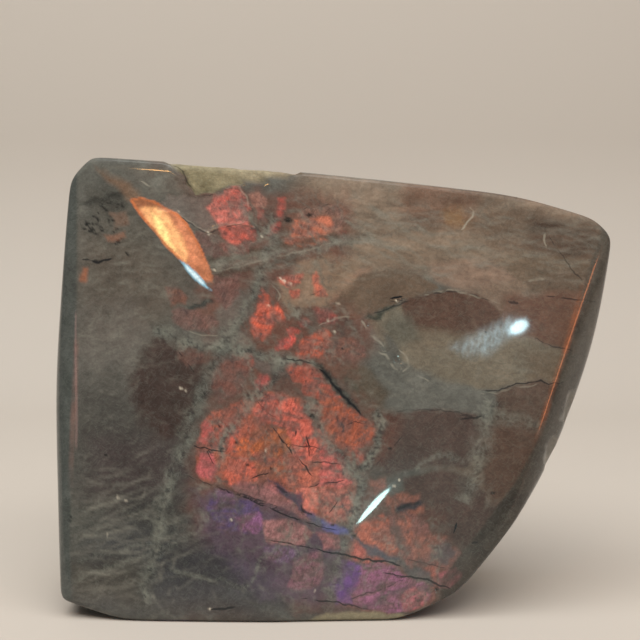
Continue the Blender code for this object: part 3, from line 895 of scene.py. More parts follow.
# %% Outline the ink marks
INK_MARKS = [
    # outline, colour, strength
    ([(268, 480), (276, 482), (288, 488), (303, 495), (304, 508), (296, 506), (284, 498),
      (274, 490)], paint(56, 58, 74), 0.85),
    ([(304, 508), (314, 513), (326, 521), (322, 526), (310, 519)], paint(62, 68, 100), 0.85),
    ([(322, 521), (334, 521), (352, 531), (350, 538), (336, 533), (324, 527)],
     paint(98, 104, 168), 0.65),
    ([(353, 536), (368, 543), (384, 551), (400, 561), (397, 566), (382, 561), (364, 551)],
     paint(66, 76, 86), 0.8),
    ([(396, 562), (410, 564), (424, 572), (436, 584), (424, 582), (408, 574)],
     paint(72, 78, 80), 0.7),
    ([(395, 506), (408, 501), (422, 499), (423, 504), (410, 508), (397, 511)],
     paint(46, 48, 54), 0.9),
    ([(352, 606), (372, 600), (392, 590), (408, 581), (407, 587), (388, 598), (366, 607)],
     paint(86, 66, 76), 0.65),
    ([(312, 362), (323, 366), (340, 384), (356, 402), (365, 416), (354, 410), (338, 394),
      (324, 378)], paint(38, 42, 40), 0.85),
    ([(188, 304), (200, 301), (215, 299), (216, 302), (204, 306), (191, 308)],
     paint(44, 52, 50), 0.85),
    ([(364, 319), (378, 310), (395, 306), (397, 309), (384, 315), (370, 320)],
     paint(46, 52, 46), 0.85),
    ([(394, 518), (402, 520), (408, 540), (406, 556), (396, 548), (392, 530)],
     paint(86, 76, 72), 0.7),
    ([(208, 256), (240, 252), (300, 241), (346, 230), (347, 235), (300, 247), (262, 257),
      (230, 262), (210, 263)], paint(60, 58, 48), 0.6),
    ([(212, 272), (240, 267), (264, 264), (300, 255), (301, 260), (264, 270), (214, 277)],
     paint(60, 58, 52), 0.55),
    ([(338, 562), (354, 562), (358, 580), (352, 604), (336, 602), (332, 584)],
     paint(92, 64, 120), 0.55),
    ([(436, 545), (450, 543), (456, 553), (446, 562), (434, 558)], paint(74, 70, 72), 0.75),
]
print(len(INK_MARKS), "ink marks outlined")

# %% Lay the ink marks
for outline, colour, strength in INK_MARKS:
    mark = smooth(-2.2, 2.2, depth_inside(spots + 1.6 * ragged, outline)) * facing_front
    canvas.lay(colour, mark * strength)
    flash *= 1 - mark * strength
print("flash now lies over", round(float(flash.mean()), 3), "of the points")

# %% [markdown]
# ## Veils
# Healed cracks cross the stone as grey-green ribbons, milky and slightly frayed. They hide
# the flash under them. A veil is a line with a width and a strength. Fine threads from
# ridged noise run through it, light on dark, and gaps keep it from looking like a painted
# stripe.

# %% Place the veils
VEILS = [
    # line, half width, strength
    ([(270, 200), (275, 238), (261, 272), (253, 296), (241, 318), (220, 353), (203, 394),
      (184, 442), (175, 467), (163, 504), (155, 545), (147, 585), (143, 612)], 5.0, 0.75),
    ([(150, 325), (180, 342), (218, 348), (249, 351), (287, 359), (320, 364)], 3.6, 0.75),
    ([(205, 272), (228, 266), (256, 261), (295, 252), (333, 244), (356, 240), (379, 235)],
     2.6, 0.5),
    ([(302, 400), (312, 416), (328, 442), (348, 464), (359, 480), (356, 510), (351, 528),
      (343, 552)], 4.6, 0.8),
    ([(346, 540), (341, 559), (332, 590), (326, 614)], 4.0, 0.45),
    ([(373, 408), (382, 426), (378, 448), (359, 475)], 3.4, 0.8),
    ([(490, 398), (489, 412), (485, 428), (477, 459), (467, 489), (461, 504)], 6.5, 0.5),
    ([(489, 412), (520, 420), (561, 430)], 4.0, 0.4),
    ([(240, 200), (252, 222), (262, 240)], 2.2, 0.6),
    ([(296, 352), (272, 380), (250, 404), (228, 430), (220, 456)], 3.2, 0.65),
    ([(238, 346), (250, 372), (262, 400)], 2.4, 0.5),
    ([(285, 300), (300, 318), (314, 334)], 2.4, 0.5),
    ([(226, 432), (218, 470), (214, 500)], 1.8, 0.55),
    ([(280, 440), (290, 470), (296, 500), (288, 540), (258, 560), (252, 590)], 1.6, 0.45),
    ([(196, 524), (150, 542), (110, 552), (72, 562)], 1.6, 0.35),
    ([(198, 531), (160, 552), (110, 566), (70, 582)], 1.6, 0.4),
    ([(192, 521), (160, 520), (120, 512), (80, 508)], 1.4, 0.3),
    ([(169, 569), (190, 575), (214, 581), (251, 588)], 2.0, 0.5),
    ([(170, 470), (190, 478), (210, 490)], 1.6, 0.5),
    ([(412, 470), (424, 460), (445, 456), (470, 462)], 1.8, 0.4),
    ([(320, 222), (332, 240), (345, 252)], 2.4, 0.6),
]
print(len(VEILS), "veils placed")

# %% Mix their threads
VEIL_DARK, VEIL_LIGHT = paint(54, 56, 54), paint(122, 124, 113)

threads = np.maximum(ridges(spots3, 7, 98, 2), ridges(spots3 * (1, 1.6, 1), 5, 180, 2))
threads = smooth(0.45, 1.0, threads) * (0.7 + 0.5 * clouds(spots3, 16, 192, 2))
thread_light = np.clip(threads, 0, 1)[:, None]
veil_colour = VEIL_DARK * (1 - thread_light) + VEIL_LIGHT * thread_light
gaps_in_veils = smooth(-0.9, 0.1, clouds(spots3, 24, 196, 3))
print("threads are light on", round(float(threads.mean()), 2), "of a veil")

# %% Draw the veils
fray = sway(spots3, 4.2, 10, (90, 94), 4)
milk = np.zeros(len(points))
for line, half_width, strength in VEILS:
    gap, _, way = to_segments(spots + fray, line, False)
    band = smooth(half_width * 2.6, 0, gap) * strength * (0.45 + 0.55 * gaps_in_veils)
    band *= smooth(0, 0.06, way) * smooth(1, 0.94, way) * facing_front
    canvas.lay(veil_colour, band)
    milk = np.maximum(milk, band)
    flash *= 1 - np.clip(band, 0, 1)
print("veils leave the flash on", round(float(flash.mean()), 3), "of the points")

# %% Spin a fine web between the veils
wide_web = smooth(0.80, 1.0, ridges(spots3 + 2, 34, 184, 4))
fine_web = smooth(0.80, 1.0, ridges(spots3, 17, 188, 4))
web = np.maximum(0.7 * wide_web, 0.5 * fine_web) * gaps_in_veils * facing_front
canvas.lay(veil_colour, web * (0.12 + 0.6 * glow))
flash *= 1 - 0.8 * web
print("web spun over", round(float((web > 0.1).mean()), 2), "of the points")

# %% [markdown]
# ## Wisps
# Between the veils the crystal is full of hair-thin pale fibres. They lie in families: a
# fan at the lower left, a weave at the left, long flat streaks at the upper right. Like a
# painter with a dry brush we draw several hundred short strokes, each family with its own
# place, slant and length. The random draws are seeded.

# %% Describe the families of wisps
FAMILIES = [
    # middle, spread, slant in degrees (up to the right), slant spread, length, count, light
    ((110, 330), (30, 64), 24, 44, 17, 150, 0.36),
    ((140, 275), (50, 24), 6, 20, 22, 90, 0.34),
    ((115, 545), (44, 30), 12, 16, 46, 120, 0.36),
    ((110, 490), (30, 20), 8, 24, 30, 40, 0.36),
    ((190, 600), (90, 16), -40, 40, 14, 50, 0.28),
    ((180, 400), (40, 50), 30, 45, 12, 60, 0.26),
    ((235, 262), (50, 12), 12, 22, 14, 60, 0.36),
    ((225, 345), (50, 14), -8, 40, 10, 60, 0.34),
    ((205, 395), (10, 50), 60, 30, 9, 60, 0.34),
    ((158, 560), (10, 50), 70, 35, 11, 50, 0.34),
    ((460, 232), (110, 16), 5, 6, 38, 90, 0.42),
    ((470, 258), (110, 16), -8, 8, 40, 70, 0.40),
    ((390, 225), (44, 22), -24, 12, 30, 70, 0.42),
    ((250, 258), (40, 7), 14, 16, 20, 50, 0.40),
    ((560, 230), (36, 14), -6, 8, 26, 30, 0.30),
    ((420, 390), (60, 16), -4, 22, 18, 60, 0.30),
    ((480, 450), (10, 34), 72, 24, 9, 46, 0.36),
    ((440, 350), (60, 22), -24, 16, 24, 40, 0.22),
    ((300, 560), (60, 30), 10, 50, 9, 50, 0.24),
    ((350, 500), (14, 60), 70, 40, 7, 50, 0.30),
]
print(len(FAMILIES), "families of wisps")

# %% Brush the wisps
dice = np.random.default_rng(11)
wisps = np.zeros(len(points))
drawn = 0
for middle, spread, slant, slant_spread, length, count, light in FAMILIES:
    for _ in range(count):
        start = dice.normal(middle, spread)
        angle = math.radians(slant + dice.normal(0, slant_spread / 2))
        run = length * dice.uniform(0.5, 1.5)
        bend = dice.normal(0, 0.12) * run
        width = dice.uniform(0.8, 1.8)
        thickness = light * dice.uniform(0.2, 0.75)
        step = np.array([math.cos(angle), -math.sin(angle)]) * run / 2
        side = np.array([step[1], -step[0]]) / (run / 2) * bend
        path = [start - step, start + side, start + step]
        near = np.flatnonzero(np.abs(spots - start).max(axis=1) < run * 0.6 + 4)
        near = near[facing_front[near] > 0.1]
        if len(near) == 0:
            continue
        gap, _, way = to_segments(spots[near], path, False)
        taper = np.sin(np.clip(way, 0.02, 0.98) * math.pi) ** 0.6
        wisps[near] += thickness * taper * smooth(width * 1.9, width * 0.3, gap)
        drawn += 1
canvas.lay(paint(122, 120, 110), np.clip(wisps, 0, 0.7) * facing_front * (1 - 0.7 * flash))
print(drawn, "wisps brushed")

# %% [markdown]
# ## Cracks, needles and scars
# Dark cracks and black needles are thinner than the spacing of our points. If we stored
# how dark each point is, they would break into dots. Storing the signed distance to the
# line instead lets the shader find the exact place where it crosses zero, so a hair-thin
# line stays whole. Pale scars get the same treatment. On the back and the sides, which
# nobody has drawn, a crack runs wherever a cloudy noise crosses zero.

# %% Place the long cracks across the low field
CRACKS_AND_FLAKE_SHADOW = [
    # line, half width, strength
    ([(185, 475), (212, 485), (241, 496), (260, 504), (280, 513), (318, 526), (341, 531)],
     1.0, 0.85),
    ([(214, 486), (236, 492), (255, 498), (280, 508)], 0.8, 0.6),
    ([(262, 539), (290, 544), (316, 550)], 1.0, 0.8),
    ([(314, 549), (338, 554), (362, 559), (386, 562), (402, 566)], 1.4, 0.95),
    ([(380, 573), (404, 576), (424, 579), (438, 584), (451, 589)], 1.4, 0.9),
    ([(400, 558), (424, 563), (446, 568)], 0.9, 0.6),
    ([(300, 598), (323, 601), (340, 603), (357, 607), (382, 613)], 1.1, 0.9),
    ([(346, 601), (366, 594), (384, 588), (404, 578)], 1.2, 0.6),
]
print(len(CRACKS_AND_FLAKE_SHADOW), "cracks so far")

# %% Place the short cracks of the main field
CRACKS_AND_FLAKE_SHADOW += [
    ([(273, 427), (280, 437), (287, 446), (294, 455)], 0.9, 0.85),
    ([(296, 429), (294, 438), (290, 447)], 1.0, 0.9),
    ([(306, 431), (308, 444), (310, 456)], 1.0, 0.9),
    ([(286, 445), (302, 446), (320, 448)], 0.8, 0.8),
    ([(298, 459), (306, 467), (313, 477)], 0.9, 0.85),
    ([(310, 461), (326, 462), (345, 465)], 0.8, 0.8),
    ([(303, 488), (320, 484), (345, 481)], 0.8, 0.85),
    ([(314, 490), (315, 500)], 0.8, 0.8),
    ([(329, 513), (335, 504), (342, 495)], 0.8, 0.75),
    ([(193, 446), (207, 449), (227, 452)], 0.9, 0.85),
    ([(206, 450), (210, 457), (214, 465)], 0.8, 0.75),
    ([(246, 481), (258, 476), (269, 473)], 0.8, 0.85),
    ([(281, 479), (294, 480), (306, 483)], 0.8, 0.8),
    ([(256, 400), (266, 412), (276, 418)], 0.7, 0.6),
    ([(342, 428), (354, 422), (368, 424)], 0.7, 0.6),
]
print(len(CRACKS_AND_FLAKE_SHADOW), "cracks so far")

# %% Place the cracks on the right
CRACKS_AND_FLAKE_SHADOW += [
    ([(362, 478), (376, 464), (391, 449), (408, 430)], 0.8, 0.6),
    ([(548, 235), (566, 262), (580, 278), (590, 291)], 0.9, 0.5),
    ([(545, 296), (570, 299), (598, 302)], 1.0, 0.7),
    ([(534, 338), (552, 346), (574, 351)], 0.9, 0.6),
    ([(364, 317), (384, 310), (405, 302), (434, 293), (451, 291), (471, 294), (491, 302)],
     1.1, 0.55),
    ([(479, 391), (498, 390), (516, 384), (532, 382), (541, 380), (549, 384), (567, 382)],
     1.0, 0.8),
    ([(381, 416), (398, 411), (422, 409), (451, 411), (475, 416)], 1.0, 0.4),
]
print(len(CRACKS_AND_FLAKE_SHADOW), "cracks so far")

# %% Place the cracks on the left and above, and a painted shadow under the flake
CRACKS_AND_FLAKE_SHADOW += [
    ([(287, 359), (300, 360), (312, 364)], 1.0, 0.85),
    ([(178, 350), (186, 362), (194, 374)], 0.8, 0.6),
    ([(302, 209), (318, 206), (334, 204)], 0.8, 0.7),
    # painted shadow: a dark line just under the flake's lower edge, not a crack
    ([(159, 212), (178, 215), (190, 223), (198, 229), (208, 233), (226, 227), (247, 223)],
     1.0, 0.6),
    ([(172, 164), (184, 172), (187, 182), (197, 195), (208, 195), (222, 190)], 0.9, 0.6),
    ([(78, 470), (96, 464), (112, 456)], 1.0, 0.4),
]
print(len(CRACKS_AND_FLAKE_SHADOW), "cracks in all")

# %% Place the black needles
NEEDLES = [
    # line, half width, strength
    ([(318, 368), (330, 380), (346, 399), (362, 415)], 2.2, 0.9),
    ([(397, 509), (408, 505), (421, 502)], 2.4, 0.65),
    ([(389, 299), (396, 298), (404, 296)], 1.6, 1.0),
    ([(457, 522), (456, 528), (454, 534)], 1.3, 0.95),
    ([(210, 610), (222, 609), (236, 607)], 1.7, 1.0),
    ([(81, 259), (90, 259)], 1.3, 0.75),
    ([(91, 260), (100, 262), (112, 258)], 1.8, 0.9),
    ([(296, 298), (308, 295), (322, 291)], 1.5, 0.6),
    ([(508, 302), (514, 302), (519, 303)], 1.6, 0.7),
    ([(460, 420), (472, 418), (482, 416)], 1.8, 0.7),
    ([(471, 544), (475, 543), (479, 543)], 1.8, 0.7),
    ([(275, 486), (281, 489), (287, 493)], 1.9, 0.6),
    ([(301, 506), (306, 512), (313, 516)], 1.8, 0.7),
]
print(len(NEEDLES), "needles placed")

# %% Place the pale scars
SCARS = [
    # line, half width, strength
    ([(472, 206), (474, 212), (473, 217), (467, 222), (465, 227), (461, 231)], 1.5, 0.6),
    ([(544, 232), (544, 240), (547, 247)], 1.3, 0.45),
    ([(361, 320), (368, 330), (376, 338), (384, 348)], 1.8, 0.45),
    ([(378, 351), (386, 356), (392, 364), (397, 371)], 1.9, 0.5),
    ([(398, 348), (408, 358), (410, 366), (402, 373)], 1.5, 0.4),
    ([(158, 210), (178, 213), (190, 221), (198, 227), (207, 231), (214, 228), (228, 225),
      (247, 222)], 1.1, 0.2),
    ([(269, 283), (276, 289), (281, 296), (279, 301)], 1.3, 0.35),
    ([(212, 272), (240, 266), (262, 260), (300, 252), (340, 241)], 1.3, 0.2),
    ([(500, 303), (484, 299), (468, 294), (452, 290), (436, 292), (422, 296)], 1.4, 0.35),
    ([(318, 326), (336, 318), (356, 317)], 1.3, 0.28),
    ([(480, 393), (498, 393), (516, 387), (532, 386), (542, 382)], 1.2, 0.25),
    ([(416, 374), (422, 378), (432, 382)], 1.3, 0.4),
    ([(522, 282), (530, 281), (545, 278), (566, 275)], 1.9, 0.4),
    ([(140, 181), (146, 183), (152, 188)], 1.2, 0.45),
    ([(226, 188), (240, 187), (247, 198), (249, 208)], 1.2, 0.3),
    ([(186, 330), (200, 335), (218, 336)], 1.2, 0.3),
]
print(len(SCARS), "scars placed")

# %% Measure the distance to every thin line
OFFSET_LIMIT = 9.0
WHOLE_FROM_WIDTH, WHOLE_FROM_STRENGTH = 1.25, 0.6


def thin_lines(lines, seed):
    """Signed distance to the nearest line, in half widths, and how strongly it shows.

    A line that is both wide and strong is whole; all others come and go along their way.
    """
    nearest = np.full(len(points), FAR_AWAY)
    offset, show = np.full(len(points), OFFSET_LIMIT), np.zeros(len(points))
    jitter = sway(spots3, 1.1, 6, (seed, seed + 3), 3)
    breaks = smooth(-0.75, 0.15, clouds(spots3, 9, seed + 6, 2))
    for line, half_width, strength in lines:
        gap, side, way = to_segments(spots + jitter, line, False)
        taper = 0.3 + 0.7 * np.sin(np.clip(way, 0, 1) * math.pi) ** 0.5
        closer = gap < nearest
        nearest = np.where(closer, gap, nearest)
        offset = np.where(closer, side / (half_width * taper), offset)
        reach = smooth(half_width + 5, half_width + 2, gap)
        tips = smooth(0, 0.05, way) * smooth(1, 0.95, way)
        whole = half_width > WHOLE_FROM_WIDTH and strength > WHOLE_FROM_STRENGTH
        kept = 1.0 if whole else breaks
        show = np.where(closer, strength * reach * kept * tips * facing_front, show)
    return np.clip(offset, -OFFSET_LIMIT, OFFSET_LIMIT), show


crack_and_shadow_offset, crack_and_shadow_show = thin_lines(CRACKS_AND_FLAKE_SHADOW + NEEDLES, 101)
scar_offset, scar_show = thin_lines(SCARS, 111)
print(len(CRACKS_AND_FLAKE_SHADOW) + len(NEEDLES), "dark lines and", len(SCARS), "pale ones measured")

# %% Let cracks run where noise crosses zero on the back and the sides
crack_field = np.clip(60 * clouds(points, 40, 56, 2), -OFFSET_LIMIT, OFFSET_LIMIT)
stretches = smooth(-0.1, 0.4, clouds(points, 20, 59))
crack_and_shadow_offset = np.where(behind > 0, crack_field, crack_and_shadow_offset)
crack_and_shadow_show = np.where(behind > 0, 0.6 * behind * stretches * (1 - ledges), crack_and_shadow_show)
print("cracks show on", round(float((crack_and_shadow_show > 0.1).mean()), 2), "of the points")

# %% [markdown]
# ## Specks
# Tiny black grains of ore sit in clusters at the upper left, four to a cluster, and single
# ones are scattered over the rest. Each is a small dark dot, a little longer than high, and
# a dark haze lies between the clusters. Real grains would need thousands of tiny triangles
# that nobody could tell from dots.

# %% Dot the specks
COAL = paint(26, 26, 25)
CLUSTERS = [(103, 205), (105, 209), (107, 213), (86, 225), (90, 227), (95, 222), (101, 230),
            (110, 223), (94, 232), (115, 230), (123, 223), (118, 239), (116, 243), (112, 203),
            (98, 216), (120, 207), (88, 230), (126, 252)]
LONE_SPECKS = [(106, 455, 1.3), (70.5, 517, 1.2), (69.7, 520.5, 1.2), (332.7, 525.5, 1.5),
               (354, 536, 1.9), (437, 589, 1.9), (271, 469, 1.6), (493, 493, 1.7),
               (390, 449, 1.6), (312, 416, 2.6), (288, 220, 3.4), (309, 215, 2.4),
               (110, 181, 1.2), (236, 442, 1.6), (220, 426, 1.2), (248, 465, 1.8),
               (303, 511, 1.6), (486, 332, 1.2), (342, 349, 1.4), (205, 394, 1.4)]

specks = np.zeros(len(points))
seeds = [(*dice.normal(middle, 1.9), dice.uniform(0.7, 1.5))
         for middle in CLUSTERS for _ in range(4)]
for right, down, size in seeds + LONE_SPECKS:
    offset = (spots - (right, down)) / (size * 1.25, size * 0.85)
    gap = np.linalg.norm(offset, axis=1)
    specks = np.maximum(specks, smooth(1.35, 0.55, gap) * facing_front)
canvas.lay(COAL, specks * 0.92)
print(len(seeds) + len(LONE_SPECKS), "specks dotted")

# %% Breathe a haze between the clusters
haze = smooth(26, 4, np.linalg.norm(spots - (112, 200), axis=1) + 5 * clouds(spots3, 8, 120))
canvas.lay(paint(52, 52, 48), 0.6 * haze * facing_front)
print("haze breathed")

# %% [markdown]
# ## Smudges, a painted glint haze and sparkles
# A few small fields remain: dark and rusty smudges by the specks, a strip of skin along
# the foot, and a pale, brushed patch like a tail where the right glint frays out, a painted
# highlight. Cream sparkles, painted highlights where a tiny flake catches the light, come last
# and lie on top. They are painted, so they stay in place whichever way the stone is turned.

# %% Lay the smudges
SMUDGES = [
    # outline, colour, strength
    ([(79, 203), (96, 198), (112, 194), (124, 191), (122, 196), (104, 202), (86, 206)],
     paint(50, 50, 46), 0.8),
    ([(104, 236), (126, 233), (128, 239), (108, 243)], paint(140, 98, 78), 0.6),
    ([(112, 214), (128, 213), (131, 226), (115, 228)], paint(126, 98, 82), 0.5),
    ([(81, 268), (87, 268), (86, 282), (81, 282)], paint(150, 90, 62), 0.7),
    ([(302, 622), (330, 613), (372, 611), (406, 616), (396, 622)], paint(138, 130, 104), 0.8),
]

seen_from_front = smooth(0.05, 0.2, -normals[:, 1])
for outline, colour, strength in SMUDGES:
    inside = smooth(-2, 2, depth_inside(spots + ragged, outline))
    canvas.lay(colour, inside * strength * seen_from_front)
print(len(SMUDGES), "smudges laid")

# %% Brush the painted haze below the right glint
PAINTED_GLINT_HAZE = [(452, 348), (470, 336), (490, 324), (506, 315), (518, 318), (520, 330), (508, 342),
         (488, 354), (470, 356)]
# painted highlight: the hazy, brushed tail of the right glint
painted_glint_haze = smooth(-6, 9, depth_inside(spots + ragged, PAINTED_GLINT_HAZE)) * facing_front
canvas.lay(paint(150, 168, 174), painted_glint_haze * (0.55 + 0.3 * brush(spots, 62, 9, 1.4, 234)))
print("comet brushed")

# %% Dot the sparkles
SPARKLES = [(284, 281, 2.0), (280, 278, 1.4), (290, 284, 1.5), (396, 301, 1.4), (266, 450, 1.3),
            (231, 520, 1.3), (315, 591, 1.1), (209, 233, 1.8), (179, 211, 1.2), (150, 204, 1.4),
            (214, 270, 1.6), (338, 304, 1.3), (328, 320, 1.2), (334, 332, 1.5), (268, 306, 1.4),
            (210, 609, 1.6), (262, 236, 1.2), (394, 486, 1.2), (399, 480, 1.0), (405, 473, 1.0),
            (181, 388, 1.5), (186, 390, 1.2), (118, 497, 1.4), (126, 500, 1.2), (107, 535, 1.1)]

for right, down, size in SPARKLES:
    gap = np.linalg.norm(spots - (right, down), axis=1) / size
    canvas.lay(paint(214, 204, 184), smooth(1.3, 0.3, gap) * facing_front * 0.8)
print(len(SPARKLES), "sparkles dotted")

# %% [markdown]
# ## The copper spear
# Beside the ridge at the upper left lies a copper patch with a pale gold heart. It is painted
# partly as a copper flash from a thin layer of crystal at just the right angle, and partly as
# the painted reflection of a warm lamp in the ridge's far side; its peach heart and gold core
# are a painted highlight. It ends sharply along the ridge, and a painted blue-white highlight
# shines beside its tip. Outlines inside one another, from the dull tail to the gold core, give
# it depth without any light of its own.

# %% Outline the spear
SPEAR = [(130, 199), (139, 214), (151, 228), (166, 246), (180, 260), (192, 271), (203, 280),
         (211, 282), (212, 276), (209, 266), (202, 250), (195, 237), (186, 222), (178, 214),
         (166, 208), (154, 201), (142, 197)]
SPEAR_HEART = [(140, 208), (156, 207), (164, 211), (171, 219), (177, 229), (184, 241), (188, 253),
               (187, 263), (177, 256), (164, 243), (151, 228)]
SPEAR_CORE = [(152, 214), (160, 217), (166, 228), (170, 240), (176, 251), (166, 243), (157, 232)]
SPEAR_TAIL = [(96, 168), (118, 176), (140, 190), (144, 199), (128, 200), (112, 184)]
print("spear has", len(SPEAR), "corners")

# %% Paint the spear, part flash and part painted reflection, from its tail to its gold highlight
COPPER = paint(190, 122, 88)
PEACH = paint(246, 182, 124)
GOLD = paint(255, 226, 150)

spear = smooth(-0.9, 0.9, depth_inside(spots + 0.25 * ragged, SPEAR)) * facing_front
heart = smooth(-2.6, 3.0, depth_inside(spots + 0.5 * ragged, SPEAR_HEART)) * spear
core = smooth(-2.5, 2.5, depth_inside(spots + 0.3 * ragged, SPEAR_CORE)) * spear
tail = smooth(-4.0, 5.0, depth_inside(spots + ragged, SPEAR_TAIL)) * facing_front
along_spear = brush(spots + 0.4 * flow, -48, 12, 3, 200)
# the tail, the copper and its dark brown top are part flash, part painted reflection of a warm lamp
# and its shade
canvas.lay(paint(128, 96, 72), tail * 0.5)
canvas.lay(COPPER * (1 + 0.2 * mottle + 0.15 * along_spear)[:, None], spear)
canvas.lay(paint(132, 86, 60), spear * smooth(215, 203, spots[:, 1]) * 0.85)
# painted highlight: the peach heart and the gold core stand for the lamp's bright reflection
canvas.lay(PEACH * (1 + 0.12 * grain + 0.1 * along_spear)[:, None], heart * 0.9)
canvas.lay(GOLD * 1.1, core * (0.8 + 0.2 * grain))
# painted reflection: a narrow orange rim along the ridge side of the spear
spear_rim = spear * smooth(2.6, 1.0, depth_inside(spots, SPEAR)) * smooth(270, 250, spots[:, 1])
canvas.lay(paint(196, 112, 68), spear_rim * 0.8)
flash = np.maximum(flash, spear * 0.4)
print("spear covers", round(float(spear.mean()), 4), "of the points")

# %% Lay a painted blue-white highlight on the ridge at the spear's tip
PAINTED_HIGHLIGHT_AT_TIP = [(180, 260), (188, 265), (197, 273), (204, 281), (206, 285), (212, 291), (203, 286),
          (195, 280), (187, 271)]
# painted highlight: a blue-white glint along the ridge, painted instead of lit by a lamp
painted_highlight_at_tip = smooth(-0.8, 0.9, depth_inside(spots, PAINTED_HIGHLIGHT_AT_TIP)) * facing_front
canvas.lay(paint(138, 190, 214), painted_highlight_at_tip)
canvas.lay(paint(214, 240, 250), painted_highlight_at_tip * smooth(0.6, 2.0, depth_inside(spots, PAINTED_HIGHLIGHT_AT_TIP)))
print("sliver laid")

# %% [markdown]
# ## Bevels
# The bevels down both sides show the body colour without flash, a little greener on the
# left and darker on the right. We follow the ridge where each bevel meets the front, a
# chain of pixels, and colour what lies beyond it. Two pale, bare chip faces sit on the
# right one, and a painted warm glow along both ridges stands in for warm lamp light
# reflected there.

# %% Follow the two ridges
RIDGE_LEFT = [(77, 190), (77, 250), (76.5, 344), (75.5, 375), (73, 416), (70.5, 480),
              (70, 560), (72, 600)]
RIDGE_RIGHT = [(600, 236), (592, 257), (583, 286), (573, 324), (566, 349), (557, 375),
               (544.5, 416), (536, 443), (516, 481), (480, 530), (440, 580)]
left_x = np.interp(spots[:, 1], [p[1] for p in RIDGE_LEFT], [p[0] for p in RIDGE_LEFT])
right_x = np.interp(spots[:, 1], [p[1] for p in RIDGE_RIGHT], [p[0] for p in RIDGE_RIGHT])
left_strip = smooth(2, -2, spots[:, 0] - left_x) * smooth(0.1, 0.3, -normals[:, 1])
right_strip = smooth(-2, 3, spots[:, 0] - right_x) * smooth(0.1, 0.3, -normals[:, 1])
print("bevels cover", round(float((left_strip + right_strip).mean()), 2), "of the points")

# %% Colour the bevels
low = smooth(560, 600, spots[:, 1])
streaky = 1 + 0.2 * clouds(spots3 * (1, 0.25, 1), 9, 130)
canvas.lay(paint(70, 74, 71) * streaky[:, None], left_strip * 0.85)
canvas.lay(paint(58, 62, 58), left_strip * smooth(0.1, 0.9, clouds(spots3, 26, 133)) * 0.7)
canvas.lay(paint(76, 72, 65) * streaky[:, None], right_strip * 0.85 * (1 - low))
canvas.lay(paint(52, 48, 44), right_strip * smooth(0.1, 0.9, clouds(spots3, 22, 136)) * 0.6)
canvas.shade(-0.36 * right_strip * smooth(340, 400, spots[:, 1]))
print("bevels coloured")

# %% Lay the two chip faces
CHIP_FACES = [[(568, 393), (576, 391), (575, 398), (572, 404), (567, 418), (560, 422), (560, 418),
               (563, 413), (566, 403)],
              [(552, 441), (558, 441), (557, 447), (554, 452), (551, 458), (547, 464), (543, 462),
               (544, 457), (546, 451), (546, 446), (549, 443)]]
for outline in CHIP_FACES:
    bared = smooth(-0.8, 0.8, depth_inside(spots, outline)) * seen_from_front
    canvas.lay(paint(124, 123, 117) * streaky[:, None], bared * 0.9)
print(len(CHIP_FACES), "chip faces laid")

# %% Paint a warm glow of reflected lamp light along both ridges
uneven = 0.6 + 0.5 * clouds(spots3 * (0, 1, 0), 16, 239, 2)
# painted reflection: a warm band beside each ridge, where the lamps' warm lines fall
painted_glow_right = smooth(5, 1, np.abs(spots[:, 0] - right_x))
painted_glow_right *= smooth(272, 306, spots[:, 1]) * smooth(450, 400, spots[:, 1]) * facing_front
canvas.lay(paint(156, 92, 60), 0.5 * uneven * painted_glow_right)
painted_glow_left = smooth(4, 1, np.abs(spots[:, 0] - left_x))
painted_glow_left *= smooth(330, 360, spots[:, 1]) * smooth(500, 420, spots[:, 1]) * facing_front
canvas.lay(paint(138, 98, 88), 0.5 * uneven * painted_glow_left)
print("ridges warmed")

# %% [markdown]
# ## Skin, ledges and bruises in colour
# The natural skin is olive with a paler rim and turns to taupe towards the right. On the
# back the split ledges have the same dull crust, and chips are bruised to a light grey.
# The masks that sank these places colour them too, so relief and colour always agree.

# %% Colour the skin
SKIN_RIM = paint(160, 154, 132)

skin_seen = smooth(-0.6, 0.6, depth_inside(spots + wobble, SKIN)) * on_top
skin_shade = 0.98 + 0.14 * clouds(spots3, 7, 140) + 0.12 * clouds(points, 1.2, 143)
canvas.lay(OLIVE * skin_shade[:, None], skin_seen)
sandy_end = smooth(200, 262, spots[:, 0])
canvas.lay(paint(142, 130, 108) * skin_shade[:, None], skin_seen * 0.6 * sandy_end)
canvas.lay(TAUPE, skin_seen * 0.85 * smooth(262, 300, spots[:, 0]))
# painted shade: a darker band just inside the skin's border, where it drops below the polish
canvas.shade(-0.4 * skin_seen * smooth(3.5, 0.5, depth_inside(spots + wobble, SKIN)))
rim = smooth(6, 0, np.abs(spots[:, 1] - np.interp(spots[:, 0], (166, 300), (165, 174))))
canvas.lay(SKIN_RIM * skin_shade[:, None], skin * rim * 0.25)
print("skin coloured")

# %% Colour the flake, the ledges and the bruised chips
canvas.lay(paint(116, 104, 98) * (1 + 0.12 * grain)[:, None], flake * 0.45 * (1 - flash))
ledge_tone = (0.85 + 0.2 * clouds(points, 8, 146) + 0.12 * clouds(points, 1.3, 149))[:, None]
canvas.lay(paint(104, 98, 82) * ledge_tone, ledges * 0.9)
canvas.lay(OLIVE * ledge_tone, ledges * smooth(0.0, 0.6, clouds(points, 14, 152)) * 0.8)
canvas.lay(paint(128, 124, 116) * (0.9 + 0.2 * grain)[:, None], chipped * 0.8)
from_bruise = np.linalg.norm((spots - (456, 218)) / (1.3, 1), axis=1)
bruise = smooth(15, 3, from_bruise + 3 * clouds(spots3, 6, 155))
canvas.lay(paint(134, 104, 72), bruise * 0.6 * facing_front)
print("flake, ledges and bruises coloured")

